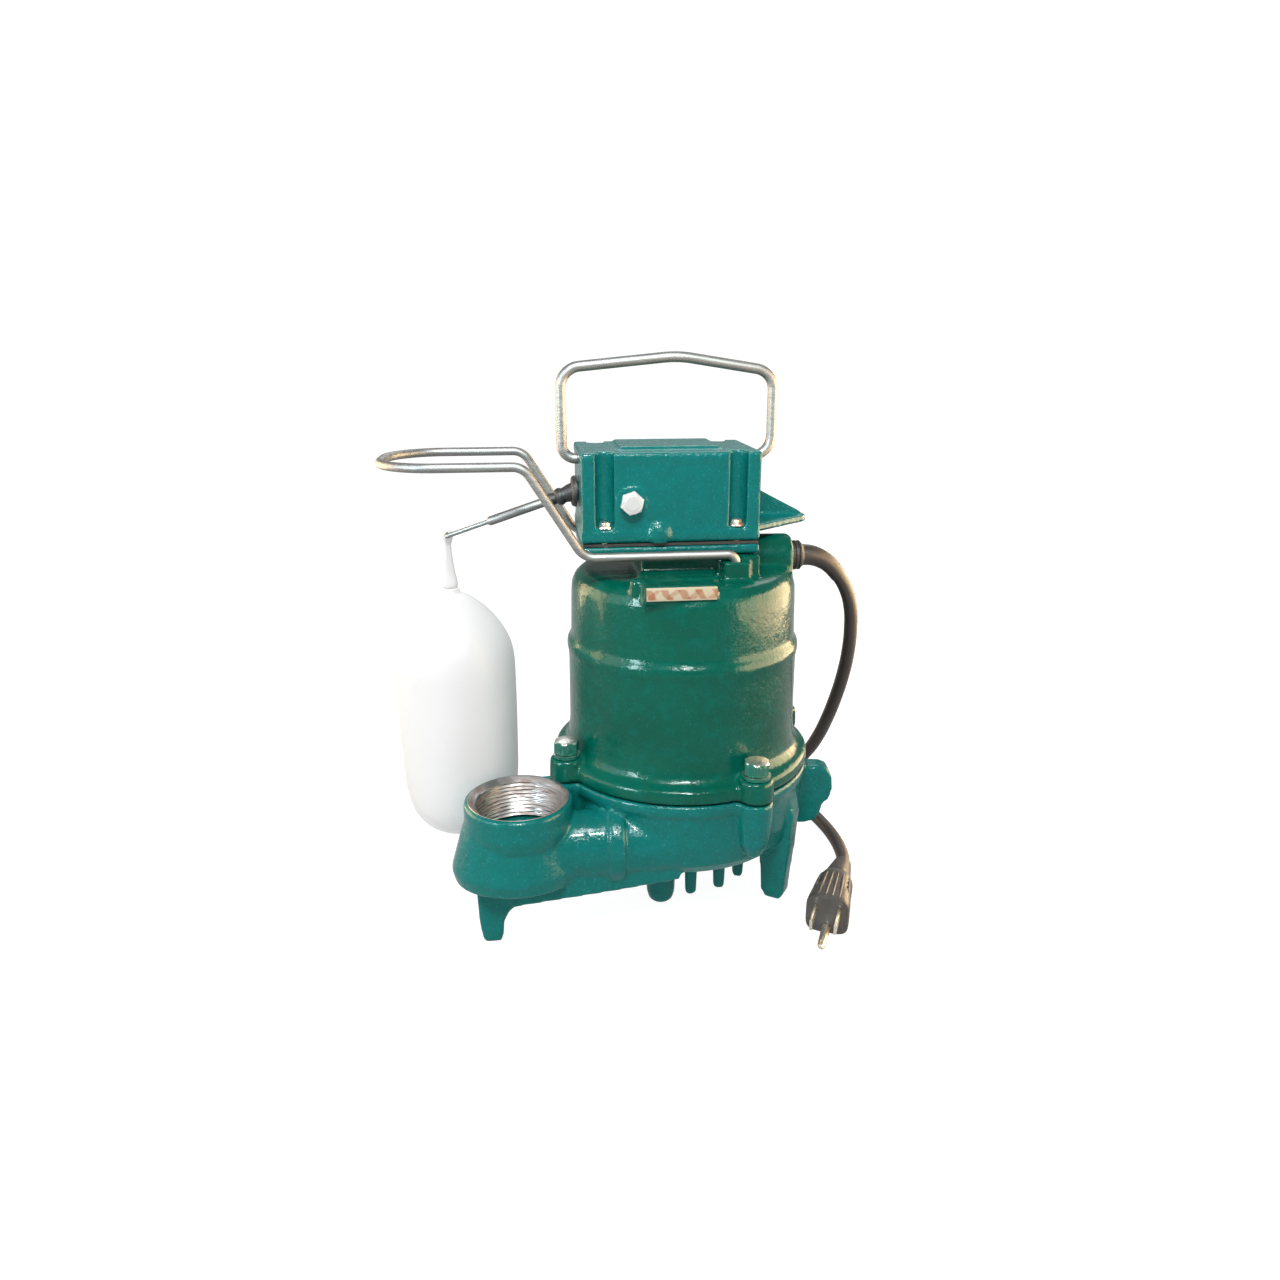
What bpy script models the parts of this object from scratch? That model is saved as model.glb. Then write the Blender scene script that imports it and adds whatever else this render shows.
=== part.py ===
"""A submersible sump pump: cast base with a side outlet, motor housing, float switch, cord.

Metres, +Z up. The floor is Z = 0 and the origin is the centre of the pump's footprint.
Sizes below are measured from the motor's axis, which the empty pump_axis carries.
"""

import math

import bmesh
import bpy
import numpy as np
from mathutils import Matrix, Vector

MM = 0.001
GAP = 0.3 * MM

# Pump base: the cast volute with its outlet arm, feet and strainer pegs.
JOINT_Z = 79 * MM
BASE_Z = 33 * MM
BASE_R = 71 * MM
FLANGE_R = 73 * MM
BASE_WALL = 8 * MM
FLOOR_PLATE = 6.5 * MM
INLET_R = 19 * MM
SEAL_SIDE = 3 * MM
SEAL_R = 67 * MM
BOLT_CIRCLE = 74 * MM
BOLT_ANGLES = (-157, -67, 23, 113)
BOLT_R = 3.2 * MM
BOLT_CLEARANCE = 0.4 * MM
WASHER_R = 7.6 * MM
LUG_R = 9.2 * MM
LUG_TOP = 92 * MM
LUG_DROP = 18 * MM
OUTLET = Vector((-95, -48, 0)) * MM
OUTLET_TOP = 78 * MM
OUTLET_R = 29 * MM
OUTLET_BORE_R = 23 * MM
ARM_TUBE_Y = -52.5 * MM
ARM_TUBE_Z = 50.5 * MM
ARM_TUBE_HALF = Vector((19, 16.5)) * MM
ARM_CHANNEL_HALF = Vector((13, 11)) * MM
ELBOW = Vector((-97, -50, 52)) * MM
ELBOW_RADII = Vector((36, 25, 19)) * MM
BAND_X = -44 * MM
BAND_WIDTH = 8 * MM
BAND_PROUD = 2.3 * MM
FOOT_ANGLES = (-36, 96)
FOOT_THICK = 11 * MM
OUTLET_FOOT = Vector((-111, -58, 0)) * MM
OUTLET_FOOT_THICK = 13 * MM
EAR_ANGLE = -7
EAR_REACH = 92 * MM
EAR_THICK = 13 * MM
PEG_COUNT = 14
PEG_CIRCLE = 39.5 * MM
PEG_R = 3.3 * MM
PEG_BOTTOM = 8 * MM
STUD_INDEX = 13
STUD_R = 7.8 * MM

# Motor housing: the cast can, its deck, and the neck that carries the switch case.
HOUSING_R = 62.6 * MM
HOUSING_WALL = 5 * MM
DECK_Z = 191 * MM
DECK_THICK = 5 * MM
RIDGE_Z = 148 * MM
RIDGE_PROUD = 2 * MM
SKIRT_PROUD = 1.4 * MM
NECK_TOP = 202.7 * MM
NECK_HALF_Y = 33 * MM
NECK_LEFT = -27 * MM
PASSAGE_HALF = 14 * MM
NAME_PLATE_Y = -60.2 * MM
CORD_Z = 194 * MM
CORD_BOSS_X = 61.2 * MM
GLAND_LONG = 6.4 * MM
CORD_BOSS_R = 12.5 * MM

# Switch case: a cast bell, four screws down its flutes, a gasket and a bottom plate.
CASE_LEFT = -57.6 * MM
CASE_RIGHT = 35.3 * MM
CASE_HALF_Y = 31 * MM
CASE_TOP = 256 * MM
CASE_WALL = 4.5 * MM
PLATE_THICK = 5 * MM
GASKET_THICK = 1.4 * MM
FLUTE_INSET = 12 * MM
FLUTE_R = 5 * MM
LEDGE_THICK = 7 * MM
CASE_SCREW_R = 2 * MM
NYLON_PLUG = Vector((-32, 0, 231)) * MM
NYLON_PLUG_FLATS = 11.5 * MM

# Handle, guard and float.
HANDLE_DROP = 6 * MM
HANDLE_Z = CASE_TOP - HANDLE_DROP
HANDLE_WIRE_R = 2.8 * MM
HANDLE_LEFT = -65.6 * MM
HANDLE_RIGHT = 47.5 * MM
HANDLE_PEAK_X = -3 * MM
HANDLE_RISE = 51.6 * MM
SHOULDER_DROP = 6 * MM
GUARD_WIRE_R = 2.4 * MM
GUARD_LOW_Z = 203.8 * MM
GUARD_HIGH_Z = 250 * MM
SOCKET_X = 22 * MM
SOCKET_TOP = 200.6 * MM
FLOAT_R = 33 * MM
FLOAT_CLEARANCE = 3 * MM
GUARD_HALF_Y = FLOAT_R + FLOAT_CLEARANCE
ARM_PIVOT = Vector((-58.6, 2.4, 232.4)) * MM
ARM_TIP = Vector((-62 * MM - 2 * FLOAT_R, 2.4 * MM, 209.5 * MM))
GUARD_REACH = FLOAT_R - ARM_TIP.x
ARM_ROD_R = 2.4 * MM
ARM_WIRE_R = 1.3 * MM
ARM_INSIDE = 13 * MM
BOOT_BALL_R = 5 * MM
FLOAT_OFFSET = 3.6 * MM
FLOAT_TOP = 176 * MM
FLOAT_BOTTOM = 35 * MM
FLOAT_WALL = 2.2 * MM
FLOAT_NECK_R = 5.6 * MM

# Motor and pump works.
SHAFT_R = 6 * MM
ROTOR_R = 28 * MM
CORE_LOW = 110 * MM
CORE_HIGH = 150 * MM
AIR_GAP = 0.6 * MM
WINDING_CLEARANCE = 7.6 * MM
IMPELLER_R = 45 * MM
IMPELLER_TOP = 64 * MM
VANE_COUNT = 6
VANE_DEEP = 15 * MM

# Power cord: its diameter, where it lies, and the plug at its end.
CORD_R = 4 * MM
COIL_CENTRE = Vector((22, 143.5, 0)) * MM
COIL_INNER = 27.9 * MM
COIL_OUTER = 67.5 * MM
COIL_HIGH = 16.6 * MM
RELIEF_POINTS = ((68.3, 3, 194), (73, 3, 193.7), (79.4, 3.1, 191.6), (86, 3.3, 187), (91, 3.7, 181.2))
DROP_POINTS = (
    (91, 3.7, 181.2), (96.5, 4.6, 172.5), (100.3, 6, 161.5), (102.3, 8.6, 148), (103.2, 12.6, 132),
    (103, 18.4, 115), (102, 26, 97.5), (100.6, 35.2, 80), (98.6, 46, 62.5), (94.8, 57, 46.5),
    (87.5, 65.6, 33.4), (77, 69.6, 25), (66, 71, 20.6),
)
RUN_POINTS = (
    (86.6, 108, 4.1), (89.8, 90, 4.1), (94.6, 72, 4.1), (99.3, 54, 4.1),
    (102.6, 36, 4.1), (104.1, 18, 4.1), (103.2, 2, 4.4), (99.9, -13, 5.4), (98.5, -16.4, 5.8),
)
PLUG_REAR = Vector((98.1, -17.4, 5.8)) * MM
PLUG_FACE = Vector((68.6, -78.3, 12.2)) * MM
PLUG_BODY_LONG = 38 * MM
BLADE_LONG = 16.5 * MM

TAU = 2 * math.pi

for stale in list(bpy.data.objects):
    bpy.data.objects.remove(stale, do_unlink=True)

parts = bpy.data.collections.new("sump_pump")
helpers = bpy.data.collections.new("cutters")
bpy.context.scene.collection.children.link(parts)
bpy.context.scene.collection.children.link(helpers)
helpers.hide_render = True

pump_axis = bpy.data.objects.new("pump_axis", None)
parts.objects.link(pump_axis)
OUTLET_FRONT = OUTLET.y - OUTLET_R
REAR_EXTENT = BOLT_CIRCLE * math.sin(math.radians(BOLT_ANGLES[3])) + LUG_R
pump_axis.location = ((GUARD_REACH - EAR_REACH) / 2, -(OUTLET_FRONT + REAR_EXTENT) / 2, 0)


def finish(name, colour, roughness, metallic=0.0):
    material = bpy.data.materials.new(name)
    material.use_nodes = True
    shader = material.node_tree.nodes["Principled BSDF"]
    shader.inputs["Base Color"].default_value = (*colour, 1)
    shader.inputs["Roughness"].default_value = roughness
    shader.inputs["Metallic"].default_value = metallic
    return material


GREEN = finish("green_enamel", (0.0, 0.17, 0.09), 0.25)
STEEL = finish("stainless_steel", (0.62, 0.61, 0.58), 0.28, 1.0)
RUBBER = finish("black_rubber", (0.02, 0.02, 0.02), 0.55)
FLOAT_PLASTIC = finish("float_plastic", (0.86, 0.88, 0.88), 0.3)
NYLON = finish("white_nylon", (0.85, 0.84, 0.82), 0.4)
BRASS = finish("brass", (0.78, 0.57, 0.25), 0.3, 1.0)
COPPER = finish("copper_winding", (0.7, 0.3, 0.12), 0.35, 1.0)
LAMINATION = finish("steel_laminations", (0.35, 0.35, 0.36), 0.45, 1.0)
RAW_IRON = finish("machined_iron", (0.3, 0.3, 0.3), 0.5, 1.0)
PHENOLIC = finish("phenolic", (0.05, 0.045, 0.04), 0.5)
IMPELLER_PLASTIC = finish("impeller_plastic", (0.07, 0.07, 0.08), 0.4)
CARBON = finish("carbon", (0.03, 0.03, 0.03), 0.35)
CERAMIC = finish("ceramic", (0.8, 0.79, 0.75), 0.3)
CREAM = finish("cream_plate", (0.75, 0.68, 0.5), 0.45)


def add(name, data, material, on=pump_axis, centre=None):
    """A piece, or a cutter when it has no material. Its origin is its pivot's, or its centre."""
    obj = bpy.data.objects.new(name, data)
    obj.parent = on
    pivot_at = Vector() if on is pump_axis else on.location
    if centre is None:
        data.transform(Matrix.Translation(-pivot_at))
    else:
        obj.location = Vector(centre) - pivot_at
    if material is None:
        helpers.objects.link(obj)
        obj.hide_render = True
        obj.display_type = "WIRE"
    else:
        parts.objects.link(obj)
        data.materials.append(material)
    return obj


def pivot(name, place):
    """The empty on a moving body's joint axis."""
    empty = bpy.data.objects.new(name, None)
    empty.parent = pump_axis
    empty.location = place
    parts.objects.link(empty)
    return empty


def close(build, name, smooth=True):
    mesh = bpy.data.meshes.new(name)
    bmesh.ops.recalc_face_normals(build, faces=build.faces)
    if build.calc_volume(signed=True) < 0:
        bmesh.ops.reverse_faces(build, faces=build.faces)
    build.to_mesh(mesh)
    build.free()
    if smooth:
        mesh.shade_smooth()
        mesh.set_sharp_from_angle(angle=math.radians(35))
    return mesh


def block(name, low, high, material=None, round_by=0.0, on=pump_axis):
    low, high = Vector(low), Vector(high)
    build = bmesh.new()
    bmesh.ops.create_cube(build, size=1)
    bmesh.ops.scale(build, vec=high - low, verts=build.verts)
    bmesh.ops.translate(build, vec=(low + high) / 2, verts=build.verts)
    if round_by:
        bmesh.ops.bevel(build, geom=build.edges[:], offset=round_by, segments=1, profile=0.5, affect="EDGES")
    return add(name, close(build, name), material, on)


def rod(name, start, end, radius, material=None, end_radius=None, sides=24, squash=None, on=pump_axis):
    """A straight round bar between two points; squash scales its section across and up."""
    start, end = Vector(start), Vector(end)
    build = bmesh.new()
    bmesh.ops.create_cone(
        build, cap_ends=True, segments=sides, radius1=radius,
        radius2=radius if end_radius is None else end_radius, depth=(end - start).length,
    )
    if squash:
        bmesh.ops.scale(build, vec=(*squash, 1), verts=build.verts)
    turn = (end - start).to_track_quat("Z", "Y").to_matrix().to_4x4()
    build.transform(Matrix.Translation((start + end) / 2) @ turn)
    return add(name, close(build, name), material, on)


def turned(name, profile, material=None, centre=(0, 0, 0), along=(0, 0, 1), sides=36, on=pump_axis):
    """A lathe shape: (radius, height) points from the top, down the outside, and back."""
    rows = [(radius, 0, height) for radius, height in profile]
    closed = profile[0][0] > 0 or profile[-1][0] > 0
    links = [(i, i + 1) for i in range(len(rows) - 1)]
    if closed:
        links.append((len(rows) - 1, 0))
    mesh = bpy.data.meshes.new(name)
    mesh.from_pydata(rows, links, [])
    obj = add(name, mesh, material, on, centre)
    obj.rotation_euler = Vector(along).to_track_quat("Z", "Y").to_euler()
    screw = obj.modifiers.new("turn", "SCREW")
    screw.steps = screw.render_steps = sides
    screw.use_merge_vertices = True
    screw.merge_threshold = 0.00001
    screw.use_smooth_shade = True
    return obj


def wire(name, points, radius, material=None, bevel=3, on=pump_axis, radii=None):
    """Round wire along a list of points, with filled ends."""
    curve = bpy.data.curves.new(name, "CURVE")
    curve.dimensions = "3D"
    curve.bevel_depth = radius
    curve.bevel_resolution = bevel
    curve.use_fill_caps = True
    line = curve.splines.new("POLY")
    line.points.add(len(points) - 1)
    for index, (point, place) in enumerate(zip(line.points, points)):
        point.co = (*place, 1)
        point.radius = 1 if radii is None else radii[index]
    return add(name, curve, material, on)


def plate(name, outline, thick, material=None, turn=0.0, place=(0, 0, 0), lying=False, on=pump_axis):
    """A flat outline in XZ with its thickness centred on Y = 0, or lying in XY, then turned and placed."""
    build = bmesh.new()
    rings = [[build.verts.new((across, side * thick / 2, up)) for across, up in outline] for side in (-1, 1)]
    build.faces.new(rings[0])
    build.faces.new(rings[1])
    for index in range(len(outline)):
        after = (index + 1) % len(outline)
        build.faces.new((rings[0][index], rings[0][after], rings[1][after], rings[1][index]))
    tip = Matrix.Rotation(-math.pi / 2 if lying else 0, 4, "X")
    build.transform(Matrix.Translation(place) @ Matrix.Rotation(turn, 4, "Z") @ tip)
    return add(name, close(build, name), material, on)


def combine(obj, other, operation):
    change = obj.modifiers.new(other.name, "BOOLEAN")
    change.operation = operation
    change.solver = "EXACT"
    change.object = other


def join(obj, *others):
    for other in others:
        combine(obj, other, "UNION")


def cut(obj, *others):
    for other in others:
        combine(obj, other, "DIFFERENCE")


def polar(radius, degrees, height=0.0):
    angle = math.radians(degrees)
    return Vector((radius * math.cos(angle), radius * math.sin(angle), height))


def bent(corners, radii, steps=5):
    """The centre line of a bent wire: straight runs with an arc of its own radius at each corner."""
    corners = [Vector(corner) for corner in corners]
    line = [corners[0]]
    for before, corner, after, radius in zip(corners, corners[1:], corners[2:], radii):
        back, ahead = (before - corner).normalized(), (after - corner).normalized()
        half = back.angle(ahead) / 2
        reach = radius / math.tan(half)
        middle = corner + (back + ahead).normalized() * (radius / math.sin(half))
        first = (corner + back * reach - middle).normalized()
        last = (corner + ahead * reach - middle).normalized()
        for step in range(steps + 1):
            line.append(middle + radius * first.slerp(last, step / steps))
    line.append(corners[-1])
    return line


def smooth_route(points, spacing):
    """Even points on a smooth curve through a cord's own points."""
    knots = np.array(points, float) * MM
    ends = np.vstack([2 * knots[0] - knots[1], knots, 2 * knots[-1] - knots[-2]])
    fine = []
    for a, b, c, d in zip(ends, ends[1:], ends[2:], ends[3:]):
        for t in np.arange(0, 1, 0.05):
            slope, bend, twist = c - a, 2 * a - 5 * b + 4 * c - d, 3 * b - a - 3 * c + d
            fine.append(0.5 * (2 * b + slope * t + bend * t**2 + twist * t**3))
    fine = np.array([*fine, knots[-1]])
    run = np.concatenate([[0], np.cumsum(np.linalg.norm(np.diff(fine, axis=0), axis=1))])
    wanted = np.linspace(0, run[-1], max(4, round(run[-1] / spacing)))
    return [Vector([np.interp(s, run, fine[:, axis]) for axis in range(3)]) for s in wanted]


def make_base():
    """The volute, bolt lugs, outlet arm and elbow, feet, ear and strainer pegs as one casting."""
    base = turned("pump_base", (
        (0, JOINT_Z), (FLANGE_R, JOINT_Z), (FLANGE_R, JOINT_Z - 7 * MM), (BASE_R, JOINT_Z - 10 * MM),
        (BASE_R, BASE_Z + 11 * MM), (BASE_R - 2 * MM, BASE_Z + 5 * MM), (BASE_R - 8 * MM, BASE_Z + 0.6 * MM),
        (BASE_R - 16 * MM, BASE_Z), (0, BASE_Z),
    ), GREEN, sides=40)
    for index, angle in enumerate(BOLT_ANGLES):
        lug = turned(f"base_lug_{index}", (
            (0, JOINT_Z - 0.02 * MM), (LUG_R, JOINT_Z - 0.02 * MM), (LUG_R, JOINT_Z - LUG_DROP),
            (LUG_R * 0.55, JOINT_Z - 1.6 * LUG_DROP), (0, JOINT_Z - 1.7 * LUG_DROP),
        ), centre=polar(BOLT_CIRCLE, angle), sides=16)
        join(base, lug)
    tube_start = (ELBOW.x, ARM_TUBE_Y, ARM_TUBE_Z)
    tube_end = (-12 * MM, ARM_TUBE_Y, ARM_TUBE_Z)
    tube = rod("arm_tube", tube_start, tube_end, 1, sides=24, squash=(ARM_TUBE_HALF.y, ARM_TUBE_HALF.x))
    band = rod(
        "arm_band", (BAND_X - BAND_WIDTH / 2, ARM_TUBE_Y, ARM_TUBE_Z),
        (BAND_X + BAND_WIDTH / 2, ARM_TUBE_Y, ARM_TUBE_Z),
        1, sides=24, squash=(ARM_TUBE_HALF.y + BAND_PROUD, ARM_TUBE_HALF.x + BAND_PROUD),
    )
    build = bmesh.new()
    bmesh.ops.create_uvsphere(build, u_segments=20, v_segments=10, radius=1)
    bmesh.ops.scale(build, vec=ELBOW_RADII, verts=build.verts)
    bmesh.ops.translate(build, vec=ELBOW, verts=build.verts)
    elbow = add("elbow", close(build, "elbow"), None)
    collar = turned("outlet_collar", (
        (0, OUTLET_TOP), (OUTLET_R - 1 * MM, OUTLET_TOP), (OUTLET_R, OUTLET_TOP - 1 * MM),
        (OUTLET_R, OUTLET_TOP - 9 * MM), (OUTLET_R + 0.5 * MM, OUTLET_TOP - 14 * MM),
        (OUTLET_R - 3 * MM, OUTLET_TOP - 22 * MM), (0, OUTLET_TOP - 24 * MM),
    ), centre=OUTLET, sides=32)
    join(base, tube, band, elbow, collar)
    foot_outline = [
        (54, 38), (56.5, 4), (58.5, 0), (66.5, 0), (69, 4), (72.5, 30), (74.5, 56), (62, 60),
    ]
    for index, angle in enumerate(FOOT_ANGLES):
        outline = [(across * MM, up * MM) for across, up in foot_outline]
        join(base, plate(f"foot_{index}", outline, FOOT_THICK, turn=math.radians(angle)))
    outlet_foot = [(-8, 42), (-7, 4), (-4.5, 0), (4.5, 0), (7, 13), (11.5, 24), (23, 33.5), (25, 42)]
    join(base, plate(
        "outlet_foot", [(across * MM, up * MM) for across, up in outlet_foot], OUTLET_FOOT_THICK,
        place=OUTLET_FOOT,
    ))
    reach = EAR_REACH / MM
    ear = [
        (56, 70), (reach - 7, 70.6), (reach - 2, 68), (reach, 62), (reach, 52), (reach - 4, 46),
        (reach - 5, 38), (reach - 11, 34), (56, 36),
    ]
    ear = [(across * MM, up * MM) for across, up in ear]
    join(base, plate("side_ear", ear, EAR_THICK, turn=math.radians(EAR_ANGLE)))
    chamber_r = BASE_R - BASE_WALL
    chamber = turned("chamber", (
        (0, JOINT_Z + 2 * MM), (chamber_r, JOINT_Z + 2 * MM), (chamber_r, BASE_Z + 12 * MM),
        (chamber_r - 5 * MM, BASE_Z + FLOOR_PLATE), (0, BASE_Z + FLOOR_PLATE),
    ), sides=36)
    groove = turned("seal_groove", (
        (SEAL_R - SEAL_SIDE / 2 - GAP, JOINT_Z + 1 * MM), (SEAL_R + SEAL_SIDE / 2 + GAP, JOINT_Z + 1 * MM),
        (SEAL_R + SEAL_SIDE / 2 + GAP, JOINT_Z - SEAL_SIDE),
        (SEAL_R - SEAL_SIDE / 2 - GAP, JOINT_Z - SEAL_SIDE),
    ), sides=36)
    channel = rod(
        "arm_channel", (OUTLET.x, ARM_TUBE_Y, ARM_TUBE_Z), (-18 * MM, ARM_TUBE_Y, ARM_TUBE_Z), 1,
        sides=24, squash=(ARM_CHANNEL_HALF.y, ARM_CHANNEL_HALF.x),
    )
    bore = turned("outlet_bore", (
        (0, OUTLET_TOP + 1 * MM), (OUTLET_BORE_R + 2.5 * MM, OUTLET_TOP + 1 * MM),
        (OUTLET_BORE_R, OUTLET_TOP - 1.5 * MM),
        (OUTLET_BORE_R, OUTLET_TOP - 22 * MM), (OUTLET_BORE_R - 7 * MM, OUTLET_TOP - 32 * MM),
        (0, OUTLET_TOP - 35 * MM),
    ), centre=OUTLET, sides=28)
    inlet = rod("inlet", (0, 0, BASE_Z - 5 * MM), (0, 0, BASE_Z + FLOOR_PLATE + 5 * MM), INLET_R, sides=32)
    cut(base, chamber, groove, channel, bore, inlet)
    for index, angle in enumerate(BOLT_ANGLES):
        hole = rod(
            f"base_bolt_hole_{index}", polar(BOLT_CIRCLE, angle, JOINT_Z - 17 * MM),
            polar(BOLT_CIRCLE, angle, JOINT_Z + 2 * MM), BOLT_R + BOLT_CLEARANCE, sides=10,
        )
        cut(base, hole)
    for index in range(PEG_COUNT):
        angle = -89.5 + index * 360 / PEG_COUNT
        root = BASE_Z + 2 * MM
        if index == STUD_INDEX:
            join(base, turned(f"peg_{index}", (
                (0, root), (STUD_R, root), (STUD_R, 6 * MM), (STUD_R * 0.7, 2 * MM), (0, 0.8 * MM),
            ), centre=polar(PEG_CIRCLE - 1.5 * MM, angle), sides=12))
        else:
            low = polar(PEG_CIRCLE, angle, PEG_BOTTOM)
            join(
                base,
                rod(
                    f"peg_{index}", low, polar(PEG_CIRCLE, angle, root), PEG_R * 0.9, end_radius=PEG_R,
                    sides=8,
                ),
            )
    return base


def make_base_seal():
    turned("base_seal_ring", (
        (SEAL_R - SEAL_SIDE / 2, JOINT_Z), (SEAL_R + SEAL_SIDE / 2, JOINT_Z),
        (SEAL_R + SEAL_SIDE / 2, JOINT_Z - SEAL_SIDE + GAP),
        (SEAL_R - SEAL_SIDE / 2, JOINT_Z - SEAL_SIDE + GAP),
    ), RUBBER, sides=36)


def make_housing():
    """The motor's can with its ridge, skirt and lugs, and on its deck the neck and bosses."""
    low = JOINT_Z + GAP
    skirt = HOUSING_R + SKIRT_PROUD
    inner = HOUSING_R - HOUSING_WALL
    housing = turned("motor_housing", (
        (0, DECK_Z), (HOUSING_R - 11 * MM, DECK_Z), (HOUSING_R - 5.5 * MM, DECK_Z - 1.4 * MM),
        (HOUSING_R - 1.5 * MM, DECK_Z - 5.5 * MM), (HOUSING_R, DECK_Z - 11 * MM),
        (HOUSING_R, RIDGE_Z + 5 * MM),
        (HOUSING_R + RIDGE_PROUD, RIDGE_Z + 2 * MM), (HOUSING_R + RIDGE_PROUD, RIDGE_Z - 2 * MM),
        (skirt - 0.2 * MM, RIDGE_Z - 6 * MM), (skirt + 0.3 * MM, low + 20 * MM),
        (skirt + 1.4 * MM, low + 12.2 * MM),
        (FLANGE_R - 1 * MM, low + 8.5 * MM), (FLANGE_R, low + 7 * MM), (FLANGE_R, low + 1 * MM),
        (FLANGE_R - 1 * MM, low), (inner, low), (inner, DECK_Z - 10 * MM),
        (inner - 5 * MM, DECK_Z - DECK_THICK),
        (0, DECK_Z - DECK_THICK),
    ), GREEN, sides=40)
    for index, angle in enumerate(BOLT_ANGLES):
        join(housing, turned(f"housing_lug_{index}", (
            (0, LUG_TOP), (LUG_R - 1 * MM, LUG_TOP), (LUG_R, LUG_TOP - 1 * MM), (LUG_R, low + 0.02 * MM),
            (0, low + 0.02 * MM),
        ), centre=polar(BOLT_CIRCLE, angle), sides=16))
    neck_low = DECK_Z - 3 * MM
    neck = block(
        "neck", (NECK_LEFT, -NECK_HALF_Y + 2 * MM, neck_low),
        (CASE_RIGHT - 2 * MM, NECK_HALF_Y - 2 * MM, NECK_TOP),
    )
    pad = block(
        "front_pad", (NECK_LEFT, -46 * MM, DECK_Z - 8 * MM), (11 * MM, -20 * MM, DECK_Z + 3.6 * MM),
        round_by=1 * MM,
    )
    nose = block(
        "plate_pad", (-29 * MM, NAME_PLATE_Y, DECK_Z - 9 * MM), (8 * MM, -30 * MM, DECK_Z + 3 * MM),
        round_by=1.2 * MM,
    )
    join(housing, neck, pad, nose)
    for side in (-1, 1):
        label = "front" if side < 0 else "rear"
        near, far = sorted((side * 28 * MM, side * (GUARD_HALF_Y + 5 * MM)))
        join(housing, block(
            f"{label}_socket", (SOCKET_X - 7 * MM, near, DECK_Z - 9 * MM),
            (SOCKET_X + 7 * MM, far, SOCKET_TOP), round_by=1 * MM,
        ))
        near, far = sorted((side * 16 * MM, side * (CASE_HALF_Y + 4.3 * MM)))
        join(housing, block(
            f"{label}_post", (SOCKET_X + 3.3 * MM, near, DECK_Z - 5.4 * MM),
            (CASE_RIGHT - 0.4 * MM, far, NECK_TOP - 0.02 * MM),
            round_by=1 * MM,
        ))
    boss = rod(
        "deck_boss", (-31 * MM, -47 * MM, DECK_Z - 8 * MM), (-31 * MM, -47 * MM, DECK_Z + 4 * MM), 4.2 * MM,
    )
    cord_boss = turned("cord_boss", (
        (0, CORD_BOSS_X), (CORD_BOSS_R - 1.5 * MM, CORD_BOSS_X), (CORD_BOSS_R, CORD_BOSS_X - 2 * MM),
        (CORD_BOSS_R, CASE_RIGHT + 1.7 * MM), (0, CASE_RIGHT + 1.7 * MM),
    ), centre=(0, 3 * MM, CORD_Z), along=(1, 0, 0), sides=24)
    cord_tunnel = rod("cord_tunnel", (20 * MM, 3 * MM, CORD_Z), (45 * MM, 3 * MM, CORD_Z), 8.4 * MM, sides=20)
    join(housing, boss, cord_tunnel, cord_boss)
    passage = block(
        "lead_passage", (-PASSAGE_HALF, -PASSAGE_HALF, DECK_Z - 12 * MM),
        (PASSAGE_HALF, PASSAGE_HALF, NECK_TOP + 2 * MM),
    )
    cord_hole = rod(
        "cord_hole", (10 * MM, 3 * MM, CORD_Z), (CORD_BOSS_X + 2 * MM, 3 * MM, CORD_Z), CORD_R + 1.2 * MM,
        sides=20,
    )
    cut(housing, passage, cord_hole)
    bearing_boss = turned("bearing_boss", (
        (0, DECK_Z - 7 * MM), (SHAFT_R + 6 * MM, DECK_Z - 7 * MM), (SHAFT_R + 6.5 * MM, 165 * MM),
        (SHAFT_R + 3 * MM + GAP, 165 * MM), (SHAFT_R + 3 * MM + GAP, 178 * MM), (0, 178 * MM),
    ), sides=32)
    spider = block(
        "bearing_bridge", (-34 * MM, -5 * MM, 166 * MM), (-SHAFT_R - 6 * MM, 5 * MM, DECK_Z - 3 * MM),
    )
    join(housing, spider, bearing_boss)
    for index, angle in enumerate(BOLT_ANGLES):
        cut(housing, rod(
            f"housing_bolt_hole_{index}", polar(BOLT_CIRCLE, angle, low - 2 * MM),
            polar(BOLT_CIRCLE, angle, LUG_TOP + 2 * MM), BOLT_R + BOLT_CLEARANCE, sides=10,
        ))
    for side in (-1, 1):
        label = "front" if side < 0 else "rear"
        cut(housing, rod(
            f"{label}_socket_hole", (SOCKET_X, side * GUARD_HALF_Y, SOCKET_TOP - 12 * MM),
            (SOCKET_X, side * GUARD_HALF_Y, SOCKET_TOP + 2 * MM), GUARD_WIRE_R + GAP, sides=16,
        ))
    return housing


def make_bolt(name, place, head_low, radius, long, head_r, head_high, sides=6, material=STEEL):
    """A hex or round headed screw: one solid, head up."""
    x, y = place
    bolt = rod(name, (x, y, head_low), (x, y, head_low + head_high), head_r, material, sides=sides)
    shank = rod(f"{name}_shank", (x, y, head_low - long), (x, y, head_low + head_high / 2), radius, sides=16)
    join(bolt, shank)
    return bolt


def make_base_bolts():
    washer_thick = 1.5 * MM
    for index, angle in enumerate(BOLT_ANGLES):
        place = polar(BOLT_CIRCLE, angle)
        low = LUG_TOP + GAP
        turned(f"base_washer_{index + 1}", (
            (BOLT_R + BOLT_CLEARANCE, low + washer_thick), (WASHER_R, low + washer_thick),
            (WASHER_R, low), (BOLT_R + BOLT_CLEARANCE, low),
        ), STEEL, centre=place, sides=20)
        head_low = low + washer_thick + GAP
        make_bolt(f"base_bolt_{index + 1}", place.xy, head_low, BOLT_R, 29 * MM, 7 * MM, 7.5 * MM)


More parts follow.
